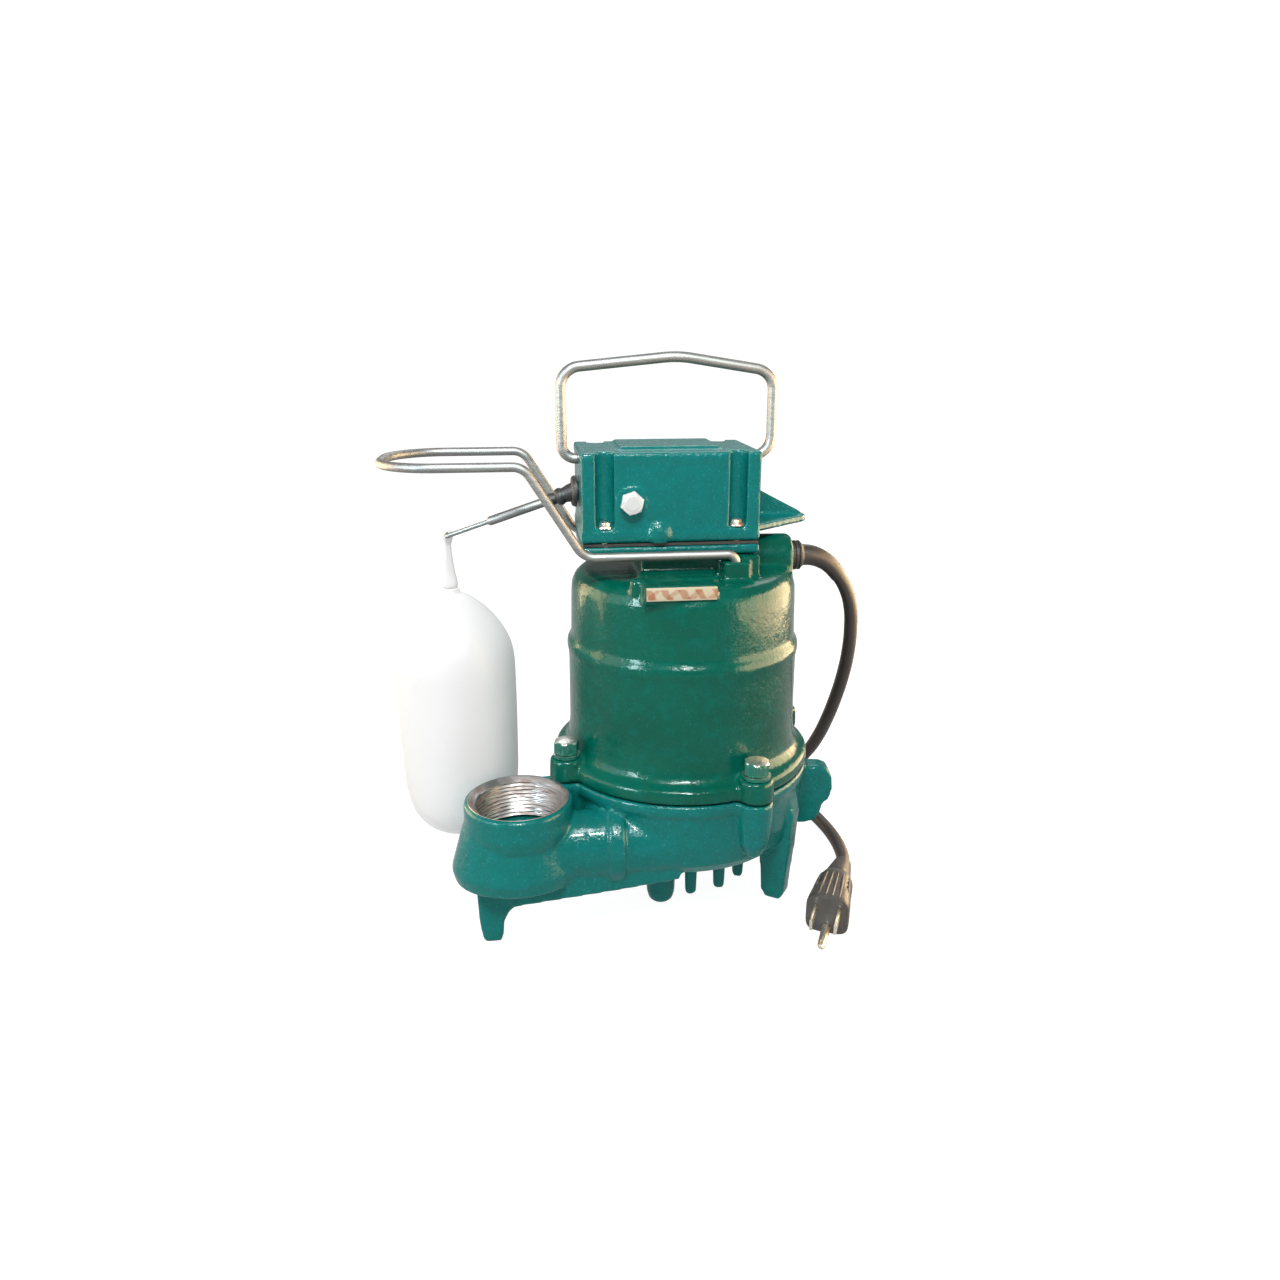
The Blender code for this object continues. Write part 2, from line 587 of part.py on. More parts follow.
def make_case():
    """The switch case is a bell with flutes at its corners; under it a gasket and a bottom plate."""
    plate_low = NECK_TOP + GAP
    plate_top = plate_low + PLATE_THICK
    gasket_top = plate_top + 2 * GAP + GASKET_THICK
    low = gasket_top
    case = block(
        "switch_case", (CASE_LEFT, -CASE_HALF_Y, low), (CASE_RIGHT, CASE_HALF_Y, CASE_TOP), GREEN,
        round_by=1.2 * MM,
    )
    flute_xs = (CASE_LEFT + FLUTE_INSET, CASE_RIGHT - FLUTE_INSET)
    screws = [(x, side * (CASE_HALF_Y - FLUTE_R * 0.7)) for x in flute_xs for side in (-1, 1)]
    lip = block(
        "top_pad", (-36 * MM, -16 * MM, CASE_TOP - 2 * MM), (16 * MM, 24 * MM, CASE_TOP + 1.6 * MM),
        round_by=0.6 * MM,
    )
    clip = rod(
        "front_boss", (-17.6 * MM, -CASE_HALF_Y - 2.4 * MM, low + 3.4 * MM),
        (-17.6 * MM, -20 * MM, low + 3.4 * MM), 6 * MM,
    )
    join(case, lip)
    cavity = block(
        "case_cavity", (CASE_LEFT + CASE_WALL, -CASE_HALF_Y + CASE_WALL, low - 5 * MM),
        (CASE_RIGHT - CASE_WALL, CASE_HALF_Y - CASE_WALL, CASE_TOP - CASE_WALL),
    )
    cut(case, cavity)
    for index, (x, y) in enumerate(screws):
        join(
            case,
            rod(
                f"flute_wall_{index}", (x, y, low + 0.02 * MM), (x, y, CASE_TOP - 1 * MM), FLUTE_R + 3 * MM,
                sides=24,
            ),
        )
    trim = block(
        "case_trim", (CASE_LEFT - 30 * MM, -CASE_HALF_Y - 30 * MM, low - 8 * MM),
        (CASE_RIGHT + 30 * MM, -CASE_HALF_Y, CASE_TOP + 8 * MM),
    )
    rear_trim = block(
        "case_rear_trim", (CASE_LEFT - 30 * MM, CASE_HALF_Y, low - 8 * MM),
        (CASE_RIGHT + 30 * MM, CASE_HALF_Y + 30 * MM, CASE_TOP + 8 * MM),
    )
    under_trim = block(
        "case_under_trim", (CASE_LEFT - 20 * MM, -CASE_HALF_Y - 20 * MM, low - 30 * MM),
        (CASE_RIGHT + 60 * MM, CASE_HALF_Y + 20 * MM, low + 0.1 * MM),
    )
    cut(case, trim, rear_trim)
    for index, (x, y) in enumerate(screws):
        flute = rod(f"flute_{index}", (x, y, low + LEDGE_THICK), (x, y, CASE_TOP + 5 * MM), FLUTE_R, sides=24)
        open_side = math.copysign(8 * MM, y)
        slot_y = sorted((y, y + open_side))
        slot = block(
            f"flute_slot_{index}", (x - FLUTE_R * 0.96, slot_y[0], low + LEDGE_THICK),
            (x + FLUTE_R * 0.96, slot_y[1], CASE_TOP + 5 * MM),
        )
        hole = rod(
            f"case_screw_hole_{index}", (x, y, low - 2 * MM), (x, y, low + LEDGE_THICK + 2 * MM),
            CASE_SCREW_R + GAP, sides=12,
        )
        cut(case, flute, slot, hole)
    join(case, clip)
    cut(case, under_trim)
    boot_hole = rod(
        "boot_hole", (CASE_LEFT - 5 * MM, ARM_PIVOT.y, ARM_PIVOT.z),
        (CASE_LEFT + 8 * MM, ARM_PIVOT.y, ARM_PIVOT.z),
        BOOT_BALL_R + 0.9 * MM, sides=24,
    )
    plug_hole = rod(
        "plug_hole", (NYLON_PLUG.x, -CASE_HALF_Y - 5 * MM, NYLON_PLUG.z),
        (NYLON_PLUG.x, -CASE_HALF_Y + 8 * MM, NYLON_PLUG.z),
        3.6 * MM, sides=16,
    )
    left_hole = rod(
        "handle_hole_left", (CASE_LEFT - 5 * MM, 0, HANDLE_Z), (CASE_LEFT + 8 * MM, 0, HANDLE_Z),
        HANDLE_WIRE_R + GAP, sides=16,
    )
    right_hole = rod(
        "handle_hole_right", (CASE_RIGHT - 8 * MM, 0, HANDLE_Z), (CASE_RIGHT + 5 * MM, 0, HANDLE_Z),
        HANDLE_WIRE_R + GAP, sides=16,
    )
    fin_low = low + 0.3 * MM
    fin = [(30, 24), (35, 24), (70, 7), (74, 4.5), (74, 1.5), (70, 0), (30, 0)]
    fin = plate("side_fin", [(a * MM, b * MM) for a, b in fin], 5 * MM, place=(0, 20 * MM, fin_low))
    shelf = [(30, -14), (35.3, -14), (72, 15.5), (74.5, 19), (72, 22.6), (30, 22.6)]
    shelf = [(a * MM, b * MM) for a, b in shelf]
    shelf = plate("side_shelf", shelf, 4 * MM, place=(0, 0, fin_low + 2 * MM), lying=True)
    join(case, fin, shelf)
    cut(case, boot_hole, plug_hole, left_hole, right_hole)
    inner = 12 * MM
    bottom = block(
        "switch_plate", (CASE_LEFT, -CASE_HALF_Y, plate_low), (CASE_RIGHT, CASE_HALF_Y, plate_top), GREEN,
        round_by=0.8 * MM,
    )
    gasket_low = plate_top + GAP
    gasket = block(
        "case_gasket", (CASE_LEFT + 0.6 * MM, -CASE_HALF_Y + 0.6 * MM, gasket_low),
        (CASE_RIGHT - 0.6 * MM, CASE_HALF_Y - 0.6 * MM, gasket_low + GASKET_THICK), RUBBER,
    )
    gasket_hole = block(
        "gasket_hole", (CASE_LEFT + CASE_WALL, -CASE_HALF_Y + inner, gasket_low - 2 * MM),
        (CASE_RIGHT - CASE_WALL, CASE_HALF_Y - inner, gasket_low + 4 * MM),
    )
    cut(gasket, gasket_hole)
    plate_hole = block(
        "plate_hole", (-PASSAGE_HALF + 1 * MM, -PASSAGE_HALF + 1 * MM, plate_low - 2 * MM),
        (PASSAGE_HALF - 1 * MM, PASSAGE_HALF - 1 * MM, plate_top + 2 * MM),
    )
    cut(bottom, plate_hole)
    for index, (x, y) in enumerate(screws):
        hole = rod(
            f"plate_screw_hole_{index}", (x, y, plate_low - 2 * MM), (x, y, plate_top + 4 * MM),
            CASE_SCREW_R + GAP, sides=12,
        )
        cut(bottom, hole)
        cut(gasket, hole)
        head_low = low + LEDGE_THICK + GAP
        make_bolt(
            f"case_screw_{index + 1}", (x, y), head_low, CASE_SCREW_R, LEDGE_THICK + 6 * MM, 3.9 * MM,
            2.8 * MM, sides=16,
        )
    face = -CASE_HALF_Y - GAP
    plug = rod(
        "nylon_plug", (NYLON_PLUG.x, face, NYLON_PLUG.z), (NYLON_PLUG.x, face - 4 * MM, NYLON_PLUG.z),
        NYLON_PLUG_FLATS / math.sqrt(3), NYLON, sides=6,
    )
    join(
        plug,
        rod(
            "nylon_plug_shank", (NYLON_PLUG.x, face - 2 * MM, NYLON_PLUG.z),
            (NYLON_PLUG.x, face + 7 * MM, NYLON_PLUG.z), 3.2 * MM, sides=16,
        ),
    )
    return gasket_top


def make_name_plate():
    """A small blank cream plate on the pad at the front edge of the deck."""
    back = NAME_PLATE_Y - GAP
    block("name_plate", (-28 * MM, back - 1 * MM, DECK_Z - 4 * MM), (7 * MM, back, DECK_Z + 2.6 * MM), CREAM)


def make_handle():
    axis = pivot("handle_pivot", (0, 0, HANDLE_Z))
    peak = HANDLE_Z + HANDLE_RISE
    corners = [
        (CASE_LEFT + 3 * MM, 0, HANDLE_Z), (HANDLE_LEFT + 1.5 * MM, 0, HANDLE_Z + 0.5 * MM),
        (HANDLE_LEFT, 0, HANDLE_Z + 10 * MM),
        (HANDLE_LEFT, 0, peak - SHOULDER_DROP), (HANDLE_PEAK_X, 0, peak),
        (HANDLE_RIGHT - 0.5 * MM, 0, peak - SHOULDER_DROP - 2.6 * MM),
        (HANDLE_RIGHT, 0, HANDLE_Z + 16 * MM), (HANDLE_RIGHT - 4 * MM, 0, HANDLE_Z + 0.5 * MM),
        (CASE_RIGHT - 3 * MM, 0, HANDLE_Z),
    ]
    radii = [3.6 * MM, 6 * MM, 11 * MM, 40 * MM, 10 * MM, 14 * MM, 3.6 * MM]
    wire("handle", bent(corners, radii), HANDLE_WIRE_R, STEEL, on=axis)


def make_guard():
    """One bent wire: up from the front socket, round the float, and back to the rear socket."""
    side = [
        (SOCKET_X, GUARD_HALF_Y, SOCKET_TOP - 10 * MM), (SOCKET_X, GUARD_HALF_Y, GUARD_LOW_Z),
        (-57 * MM, GUARD_HALF_Y, GUARD_LOW_Z), (-86 * MM, GUARD_HALF_Y, GUARD_HIGH_Z),
        (-GUARD_REACH + GUARD_WIRE_R, GUARD_HALF_Y, GUARD_HIGH_Z),
    ]
    front = [(x, -y, z) for x, y, z in side]
    corners = front + side[::-1]
    radii = [2.9 * MM, 10 * MM, 9 * MM, 15 * MM, 15 * MM, 9 * MM, 10 * MM, 2.9 * MM]
    wire("float_guard", bent(corners, radii), GUARD_WIRE_R, STEEL, bevel=2)


def make_float_arm():
    """The arm turns in its rubber boot; its pin carries the float's tab."""
    axis = pivot("arm_pivot", ARM_PIVOT)
    along = (ARM_TIP - ARM_PIVOT).normalized()
    step = ARM_PIVOT + along * 49 * MM
    arm = rod("float_arm", ARM_PIVOT - along * ARM_INSIDE, step, ARM_ROD_R, STEEL, sides=16, on=axis)
    neck = rod("arm_wire", step - along * 3 * MM, ARM_TIP + along * 0.8 * MM, ARM_WIRE_R, sides=12)
    pin_end = ARM_TIP + Vector((0, 2 * FLOAT_OFFSET, 0))
    pin = rod("arm_pin", ARM_TIP - Vector((0, 1.1 * MM, 0)), pin_end, ARM_WIRE_R, sides=12)
    build = bmesh.new()
    bmesh.ops.create_uvsphere(build, u_segments=12, v_segments=8, radius=2 * MM)
    bmesh.ops.translate(build, vec=pin_end, verts=build.verts)
    bead = add("arm_bead", close(build, "arm_bead"), None)
    join(arm, neck, pin, bead)
    ball = BOOT_BALL_R
    bore = ARM_ROD_R + GAP
    turned("arm_boot", (
        (bore, 15 * MM), (3.7 * MM, 15 * MM), (4 * MM, 11 * MM), (4.7 * MM, 9.5 * MM), (4.3 * MM, 7.5 * MM),
        (ball * 0.92, ball * 0.42), (ball, 0), (ball * 0.8, -ball * 0.6), (bore, -ball * 0.8),
    ), RUBBER, centre=ARM_PIVOT, along=along, sides=20, on=axis)
    return axis


def make_boot_ring():
    """The rubber grommet on the case's left wall, which the boot turns in."""
    hole = BOOT_BALL_R + 0.9 * MM
    turned("boot_ring", (
        (hole, 3 * MM), (hole + 1.8 * MM, 3 * MM), (hole + 2.6 * MM, 2 * MM), (hole + 2.6 * MM, GAP),
        (hole, GAP),
    ), RUBBER, centre=(CASE_LEFT, ARM_PIVOT.y, ARM_PIVOT.z), along=(-1, 0, 0), sides=24)


def make_float():
    """The hollow bottle and the flat tab that its neck grips; both turn on the arm's pin."""
    axis = pivot("float_pivot", ARM_TIP)
    middle = ARM_TIP.y + FLOAT_OFFSET
    high, low, wall = FLOAT_TOP - ARM_TIP.z, FLOAT_BOTTOM - ARM_TIP.z, FLOAT_WALL
    shoulder = [(0.27, 1), (0.6, 6.5), (0.8, 14), (0.93, 24), (1, 40)]
    heel = [(1, 42), (0.95, 26), (0.84, 15), (0.66, 7), (0.36, 1.6)]
    outer = [(FLOAT_R * share, high - drop * MM) for share, drop in shoulder]
    outer += [(FLOAT_R * share, low + rise * MM) for share, rise in heel]
    squeeze = 1 - 2 * wall / (high - low)
    inner = [(radius * (1 - wall / FLOAT_R), low + wall + (z - low) * squeeze) for radius, z in outer]
    bore = 3.6 * MM
    profile = [(bore, high + 4 * MM), (FLOAT_NECK_R, high + 4 * MM)]
    profile += outer + [(0, low), (0, low + wall)] + inner[::-1] + [(bore, high - 3 * MM)]
    shell = turned(
        "float", profile, FLOAT_PLASTIC, centre=(ARM_TIP.x, middle, ARM_TIP.z), sides=28, on=axis,
    )
    half = [(2.7, -36), (2.7, -28.5), (4.4, -28.5), (4, -25), (2.4, -15), (1.8, -7), (2.9, -2), (2.9, 1.2)]
    half += [(1.3, 3.2)]
    tab = [(a * MM, b * MM) for a, b in half] + [(-a * MM, b * MM) for a, b in half[::-1]]
    stem = plate(
        "float_stem", tab, 3 * MM, FLOAT_PLASTIC, place=(ARM_TIP.x, middle, ARM_TIP.z), on=axis,
    )
    across = Vector((0, 12 * MM, 0))
    eye = rod("float_eye", ARM_TIP - across, ARM_TIP + across, ARM_WIRE_R + GAP * 1.5, sides=16)
    cut(stem, eye)
    return shell


def make_motor():
    """Stator, windings, rotor, shaft, bearings, seal and impeller, all on the motor's axis."""
    spin = pivot("rotor_pivot", (0, 0, 0))
    inner = HOUSING_R - HOUSING_WALL - GAP
    turned("stator_core", (
        (ROTOR_R + AIR_GAP, CORE_HIGH), (inner, CORE_HIGH), (inner, CORE_LOW), (ROTOR_R + AIR_GAP, CORE_LOW),
    ), LAMINATION, sides=36)
    wound_in = ROTOR_R + 6 * MM
    wound = HOUSING_R - HOUSING_WALL - WINDING_CLEARANCE - wound_in
    for name, low in (("upper_winding", CORE_HIGH + GAP), ("lower_winding", CORE_LOW - GAP - 12 * MM)):
        high = low + 12 * MM
        turned(name, (
            (wound_in + 1 * MM, high - 3 * MM), (wound_in + wound / 4, high), (wound_in + wound * 0.75, high),
            (wound_in + wound, high - 4 * MM), (wound_in + wound, low), (wound_in, low),
        ), COPPER, sides=36)
    block(
        "thermal_overload", (wound_in + wound - 14 * MM, -9 * MM, CORE_HIGH + 12.6 * MM + GAP),
        (wound_in + wound, 9 * MM, CORE_HIGH + 19 * MM), PHENOLIC,
    )
    turned("rotor_core", (
        (SHAFT_R + GAP, CORE_HIGH + 4 * MM), (ROTOR_R - 3 * MM, CORE_HIGH + 4 * MM), (ROTOR_R, CORE_HIGH),
        (ROTOR_R, CORE_LOW),
        (ROTOR_R - 3 * MM, CORE_LOW - 4 * MM), (SHAFT_R + GAP, CORE_LOW - 4 * MM),
    ), LAMINATION, sides=36, on=spin)
    shaft_low, shaft_high = 50 * MM, 177 * MM
    turned("motor_shaft", (
        (0, shaft_high), (SHAFT_R - 1 * MM, shaft_high), (SHAFT_R, shaft_high - 1 * MM),
        (SHAFT_R, shaft_low + 1 * MM),
        (SHAFT_R - 1 * MM, shaft_low), (0, shaft_low),
    ), STEEL, sides=24, on=spin)
    for name, low, high in (("upper_bearing", 165.2 * MM, 177 * MM), ("lower_bearing", 82 * MM, 96 * MM)):
        turned(name, (
            (SHAFT_R + GAP, high), (SHAFT_R + 3 * MM, high), (SHAFT_R + 3 * MM, low), (SHAFT_R + GAP, low),
        ), BRASS, sides=24)
    hub = SHAFT_R + 3 * MM + GAP
    seat_low = 73 * MM
    turned("bearing_plate", (
        (hub, 98 * MM), (16 * MM, 98 * MM), (18 * MM, 91 * MM), (inner, 91 * MM), (inner, JOINT_Z + 3 * MM),
        (22 * MM, JOINT_Z + 1 * MM),
        (18 * MM, seat_low), (13 * MM, seat_low), (13 * MM, seat_low + 5 * MM), (hub, seat_low + 5 * MM),
    ), RAW_IRON, sides=36)
    turned("seal_seat", (
        (SHAFT_R + 1.2 * MM, seat_low + 4.7 * MM), (12.7 * MM, seat_low + 4.7 * MM),
        (12.7 * MM, seat_low - 0.6 * MM),
        (SHAFT_R + 1.2 * MM, seat_low - 0.6 * MM),
    ), CERAMIC, sides=28)
    seal_low = IMPELLER_TOP + 0.3 * MM
    turned("seal_rotor", (
        (SHAFT_R + GAP, seat_low - 0.9 * MM), (10.5 * MM, seat_low - 0.9 * MM), (11.5 * MM, seal_low),
        (SHAFT_R + GAP, seal_low),
    ), CARBON, sides=28, on=spin)
    impeller = turned("impeller", (
        (SHAFT_R + GAP, IMPELLER_TOP), (13 * MM, IMPELLER_TOP), (14 * MM, IMPELLER_TOP - 2 * MM),
        (IMPELLER_R, IMPELLER_TOP - 3 * MM),
        (IMPELLER_R, IMPELLER_TOP - 6 * MM), (13 * MM, IMPELLER_TOP - 7 * MM),
        (10.5 * MM, IMPELLER_TOP - 13.6 * MM),
        (SHAFT_R + GAP, IMPELLER_TOP - 13.6 * MM),
    ), IMPELLER_PLASTIC, sides=36, on=spin)
    for index in range(VANE_COUNT):
        vane = block(
            f"vane_{index}", (9 * MM, -1.6 * MM, IMPELLER_TOP - 4.5 * MM - VANE_DEEP),
            (IMPELLER_R - 2 * MM, 1.6 * MM, IMPELLER_TOP - 4.5 * MM),
        )
        vane.rotation_euler = (0, 0, index * TAU / VANE_COUNT)
        join(impeller, vane)
    nut_top = IMPELLER_TOP - 14 * MM
    rod("impeller_nut", (0, 0, nut_top - 6 * MM), (0, 0, nut_top - GAP), 7.5 * MM, BRASS, sides=6, on=spin)


def make_switch():
    """The snap switch in the case, its rocker under the arm's inner end, and its two leads."""
    floor = NECK_TOP + GAP + PLATE_THICK + GAP
    top = 226 * MM
    body = block(
        "switch_body", (-26 * MM, -8 * MM, floor), (PASSAGE_HALF - 8 * MM, 16 * MM, top), PHENOLIC,
        round_by=1 * MM,
    )
    hinge = Vector((-18 * MM, ARM_PIVOT.y, 232 * MM))
    for side in (-1, 1):
        near = hinge.y + side * 5.2 * MM
        low_y, high_y = sorted((near, near + side * 2.4 * MM))
        join(body, block(
            f"rocker_ear_{side + 1}", (hinge.x - 3 * MM, low_y, top - 2 * MM),
            (hinge.x + 3 * MM, high_y, hinge.z + 3 * MM),
        ))
    pin_half = 8.6 * MM
    pin = rod(
        "rocker_pin", hinge - Vector((0, pin_half, 0)), hinge + Vector((0, pin_half, 0)), 1.3 * MM, STEEL,
        sides=12,
    )
    pin_hole = rod(
        "rocker_pin_hole", hinge - Vector((0, 10 * MM, 0)), hinge + Vector((0, 10 * MM, 0)), 1.3 * MM + GAP,
        sides=12,
    )
    cut(body, pin_hole)
    axis = pivot("rocker_pivot", hinge)
    rocker = block(
        "switch_rocker", (hinge.x - 28 * MM, hinge.y - 4 * MM, hinge.z - 0.9 * MM),
        (hinge.x + 1 * MM, hinge.y + 4 * MM, hinge.z + 0.9 * MM),
        BRASS, on=axis,
    )
    hub = rod(
        "rocker_hub", hinge - Vector((0, 4.6 * MM, 0)), hinge + Vector((0, 4.6 * MM, 0)), 2.8 * MM, sides=16,
    )
    join(rocker, hub)
    cut(rocker, pin_hole)
    lead_r = 1.4 * MM
    routes = {
        "motor_lead": (
            (6.9, 4, 219), (8.6, 4.2, 218.6), (10.2, 6.4, 215), (10.4, 10, 208), (10.5, 10.6, 198),
            (10.8, 10.8, 190),
            (14, 13, 181), (24, 13, 176), (35, 8, 175), (39.6, 5, 172.6), (40, 4.6, 169.4),
        ),
        "cord_lead": (
            (7.1, -2, 214), (8.6, -3, 213.4), (10, -6.4, 210), (10.2, -9.4, 204), (10.4, -7, 199),
            (12, -1.5, 195.4),
            (15.5, 2.4, 194.2), (20, 3, 194), (40, 3, 194), (60, 3, 194),
        ),
    }
    for name, points in routes.items():
        wire(name, smooth_route(points, 3 * lead_r), lead_r, PHENOLIC, bevel=1)


def make_cord():
    """The gland in the boss, the tapered relief, the free cord, and the plug on the floor."""
    start = CORD_BOSS_X + GAP
    turned("cord_gland", (
        (lead_clear(), start + GLAND_LONG), (6.4 * MM, start + GLAND_LONG),
        (8 * MM, start + GLAND_LONG - 1.4 * MM),
        (8 * MM, start), (lead_clear(), start),
    ), RUBBER, centre=(0, 3 * MM, CORD_Z), along=(1, 0, 0), sides=20)
    relief = smooth_route(RELIEF_POINTS, 3 * MM)
    taper = [1 - 0.28 * index / (len(relief) - 1) for index in range(len(relief))]
    wire("strain_relief", relief, 6 * MM, RUBBER, radii=taper)
    drop = smooth_route(DROP_POINTS, 6.5 * MM)
    drop[0] = drop[0] + (drop[1] - drop[0]).normalized() * 3 * GAP
    wire("cord_drop", drop, CORD_R, RUBBER, bevel=2)
    turned("cord_coil", (
        (COIL_INNER, COIL_HIGH - 3 * MM), (COIL_INNER + 3 * MM, COIL_HIGH), (COIL_OUTER - 3 * MM, COIL_HIGH),
        (COIL_OUTER, COIL_HIGH - 3 * MM), (COIL_OUTER, 2 * MM), (COIL_OUTER - 2 * MM, 0.1 * MM),
        (COIL_INNER + 2 * MM, 0.1 * MM),
        (COIL_INNER, 2 * MM),
    ), RUBBER, centre=COIL_CENTRE, sides=36)
    run = smooth_route(RUN_POINTS, 6.5 * MM)
    wire("cord_run", run, CORD_R, RUBBER, bevel=2)
    along = Vector((PLUG_FACE.x - PLUG_REAR.x, PLUG_FACE.y - PLUG_REAR.y, 0)).normalized()
    body_rear = PLUG_FACE - along * PLUG_BODY_LONG
    sleeve = [PLUG_REAR.lerp(body_rear - along * 7 * GAP, t) for t in (0, 0.25, 0.5, 0.75, 1)]
    wire("plug_relief", sleeve, 7.6 * MM, RUBBER, radii=[0.66, 0.74, 0.82, 0.92, 1])
    turn = math.atan2(along.y, along.x)
    build = bmesh.new()
    bmesh.ops.create_cube(build, size=1)
    bmesh.ops.scale(build, vec=(PLUG_BODY_LONG, 25 * MM, 24 * MM), verts=build.verts)
    for vert in build.verts:
        if vert.co.x < 0:
            vert.co.y *= 0.72
            vert.co.z *= 0.72
    bmesh.ops.bevel(build, geom=build.edges[:], offset=3 * MM, segments=1, profile=0.5, affect="EDGES")
    frame = Matrix.Translation((PLUG_FACE + body_rear) / 2) @ Matrix.Rotation(turn, 4, "Z")
    build.transform(frame)
    add("plug_body", close(build, "plug_body"), RUBBER)
    face = PLUG_FACE + along * GAP
    across = Vector((-along.y, along.x, 0))
    for name, side in (("plug_blade_left", 1), ("plug_blade_right", -1)):
        blade_turn = Matrix.Rotation(turn, 4, "Z")
        build = bmesh.new()
        bmesh.ops.create_cube(build, size=1)
        bmesh.ops.scale(build, vec=(BLADE_LONG, 1.5 * MM, 6.3 * MM), verts=build.verts)
        middle = face + along * BLADE_LONG / 2 + across * side * 6.35 * MM + Vector((0, 0, 3 * MM))
        build.transform(Matrix.Translation(middle) @ blade_turn)
        add(name, close(build, name, smooth=False), BRASS)
    pin_low = Vector((0, 0, -7.5 * MM))
    rod(
        "plug_ground_pin", face + pin_low, face + along * (BLADE_LONG + 3 * MM) + pin_low, 2.4 * MM, BRASS,
        end_radius=1.8 * MM, sides=12,
    )


def lead_clear():
    return 1.4 * MM + GAP


make_base()
make_base_seal()
make_housing()
make_base_bolts()
make_case()
make_name_plate()
make_handle()
make_guard()
make_float_arm()
make_boot_ring()
make_float()
make_motor()
make_switch()
make_cord()
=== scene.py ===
import math

import bmesh
import bpy
from mathutils import Matrix, Vector


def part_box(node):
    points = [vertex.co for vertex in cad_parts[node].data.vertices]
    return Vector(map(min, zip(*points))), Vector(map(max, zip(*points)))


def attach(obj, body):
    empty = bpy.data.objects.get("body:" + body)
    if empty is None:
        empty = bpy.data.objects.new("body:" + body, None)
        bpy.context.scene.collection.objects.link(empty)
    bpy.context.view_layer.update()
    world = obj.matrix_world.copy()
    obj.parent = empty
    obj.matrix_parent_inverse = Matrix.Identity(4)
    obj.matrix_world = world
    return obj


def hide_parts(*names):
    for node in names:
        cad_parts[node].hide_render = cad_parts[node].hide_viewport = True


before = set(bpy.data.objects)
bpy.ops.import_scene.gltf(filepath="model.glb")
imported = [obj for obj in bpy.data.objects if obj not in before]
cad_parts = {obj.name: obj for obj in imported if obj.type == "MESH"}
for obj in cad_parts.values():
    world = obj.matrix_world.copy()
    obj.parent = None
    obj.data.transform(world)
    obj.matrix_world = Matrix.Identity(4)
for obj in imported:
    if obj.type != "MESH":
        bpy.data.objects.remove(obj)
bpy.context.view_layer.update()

# Camera. It stands a little above the handle, half a metre in front and to the left.
# Pieces below are built in millimetres from the motor's axis, on the floor, and then placed.
shaft_low, shaft_high = (Vector(corner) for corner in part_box("motor_shaft"))
pump_axis = Vector(((shaft_low.x + shaft_high.x) / 2, (shaft_low.y + shaft_high.y) / 2, 0))
on_axis = Matrix.Translation(pump_axis) @ Matrix.Scale(0.001, 4)
camera = bpy.data.objects.new("camera", bpy.data.cameras.new("camera"))
bpy.context.collection.objects.link(camera)
camera.data.lens = 26.72
camera.data.sensor_width = 36
camera.location = on_axis @ Vector((-86.5, -509.2, 309.6))
camera_looks = Vector((0.1219, 0.9925, -math.tan(math.radians(17.5))))
camera.rotation_euler = camera_looks.to_track_quat("-Z", "Y").to_euler()
bpy.context.scene.camera = camera


# Studio. A white floor and a white surround, soft lamps over the front, at the left and behind,
# warm cards at both sides and two small cool ones that only the glossy enamel picks up.
class Value:
    """A number that a shader works out, written as ordinary arithmetic."""

    def __init__(self, finish, socket):
        self.finish, self.socket = finish, socket

    def math(self, operation, *others):
        return self.finish.node("Math", {"operation": operation}, dict(enumerate((self, *others))))

    def __add__(self, other):
        return self.math("ADD", other)

    def __mul__(self, other):
        return self.math("MULTIPLY", other)

    def __sub__(self, other):
        return self.math("SUBTRACT", other)

    def __rsub__(self, other):
        return self.finish.node("Math", {"operation": "SUBTRACT"}, {0: other, 1: self})

    __radd__, __rmul__ = __add__, __mul__

    def between(self, low, high):
        """0 below low, 1 above high, and smooth between."""
        settings = {"interpolation_type": "SMOOTHSTEP", "clamp": True}
        inputs = {"Value": self, "From Min": low, "From Max": high}
        return self.finish.node("MapRange", settings, inputs)


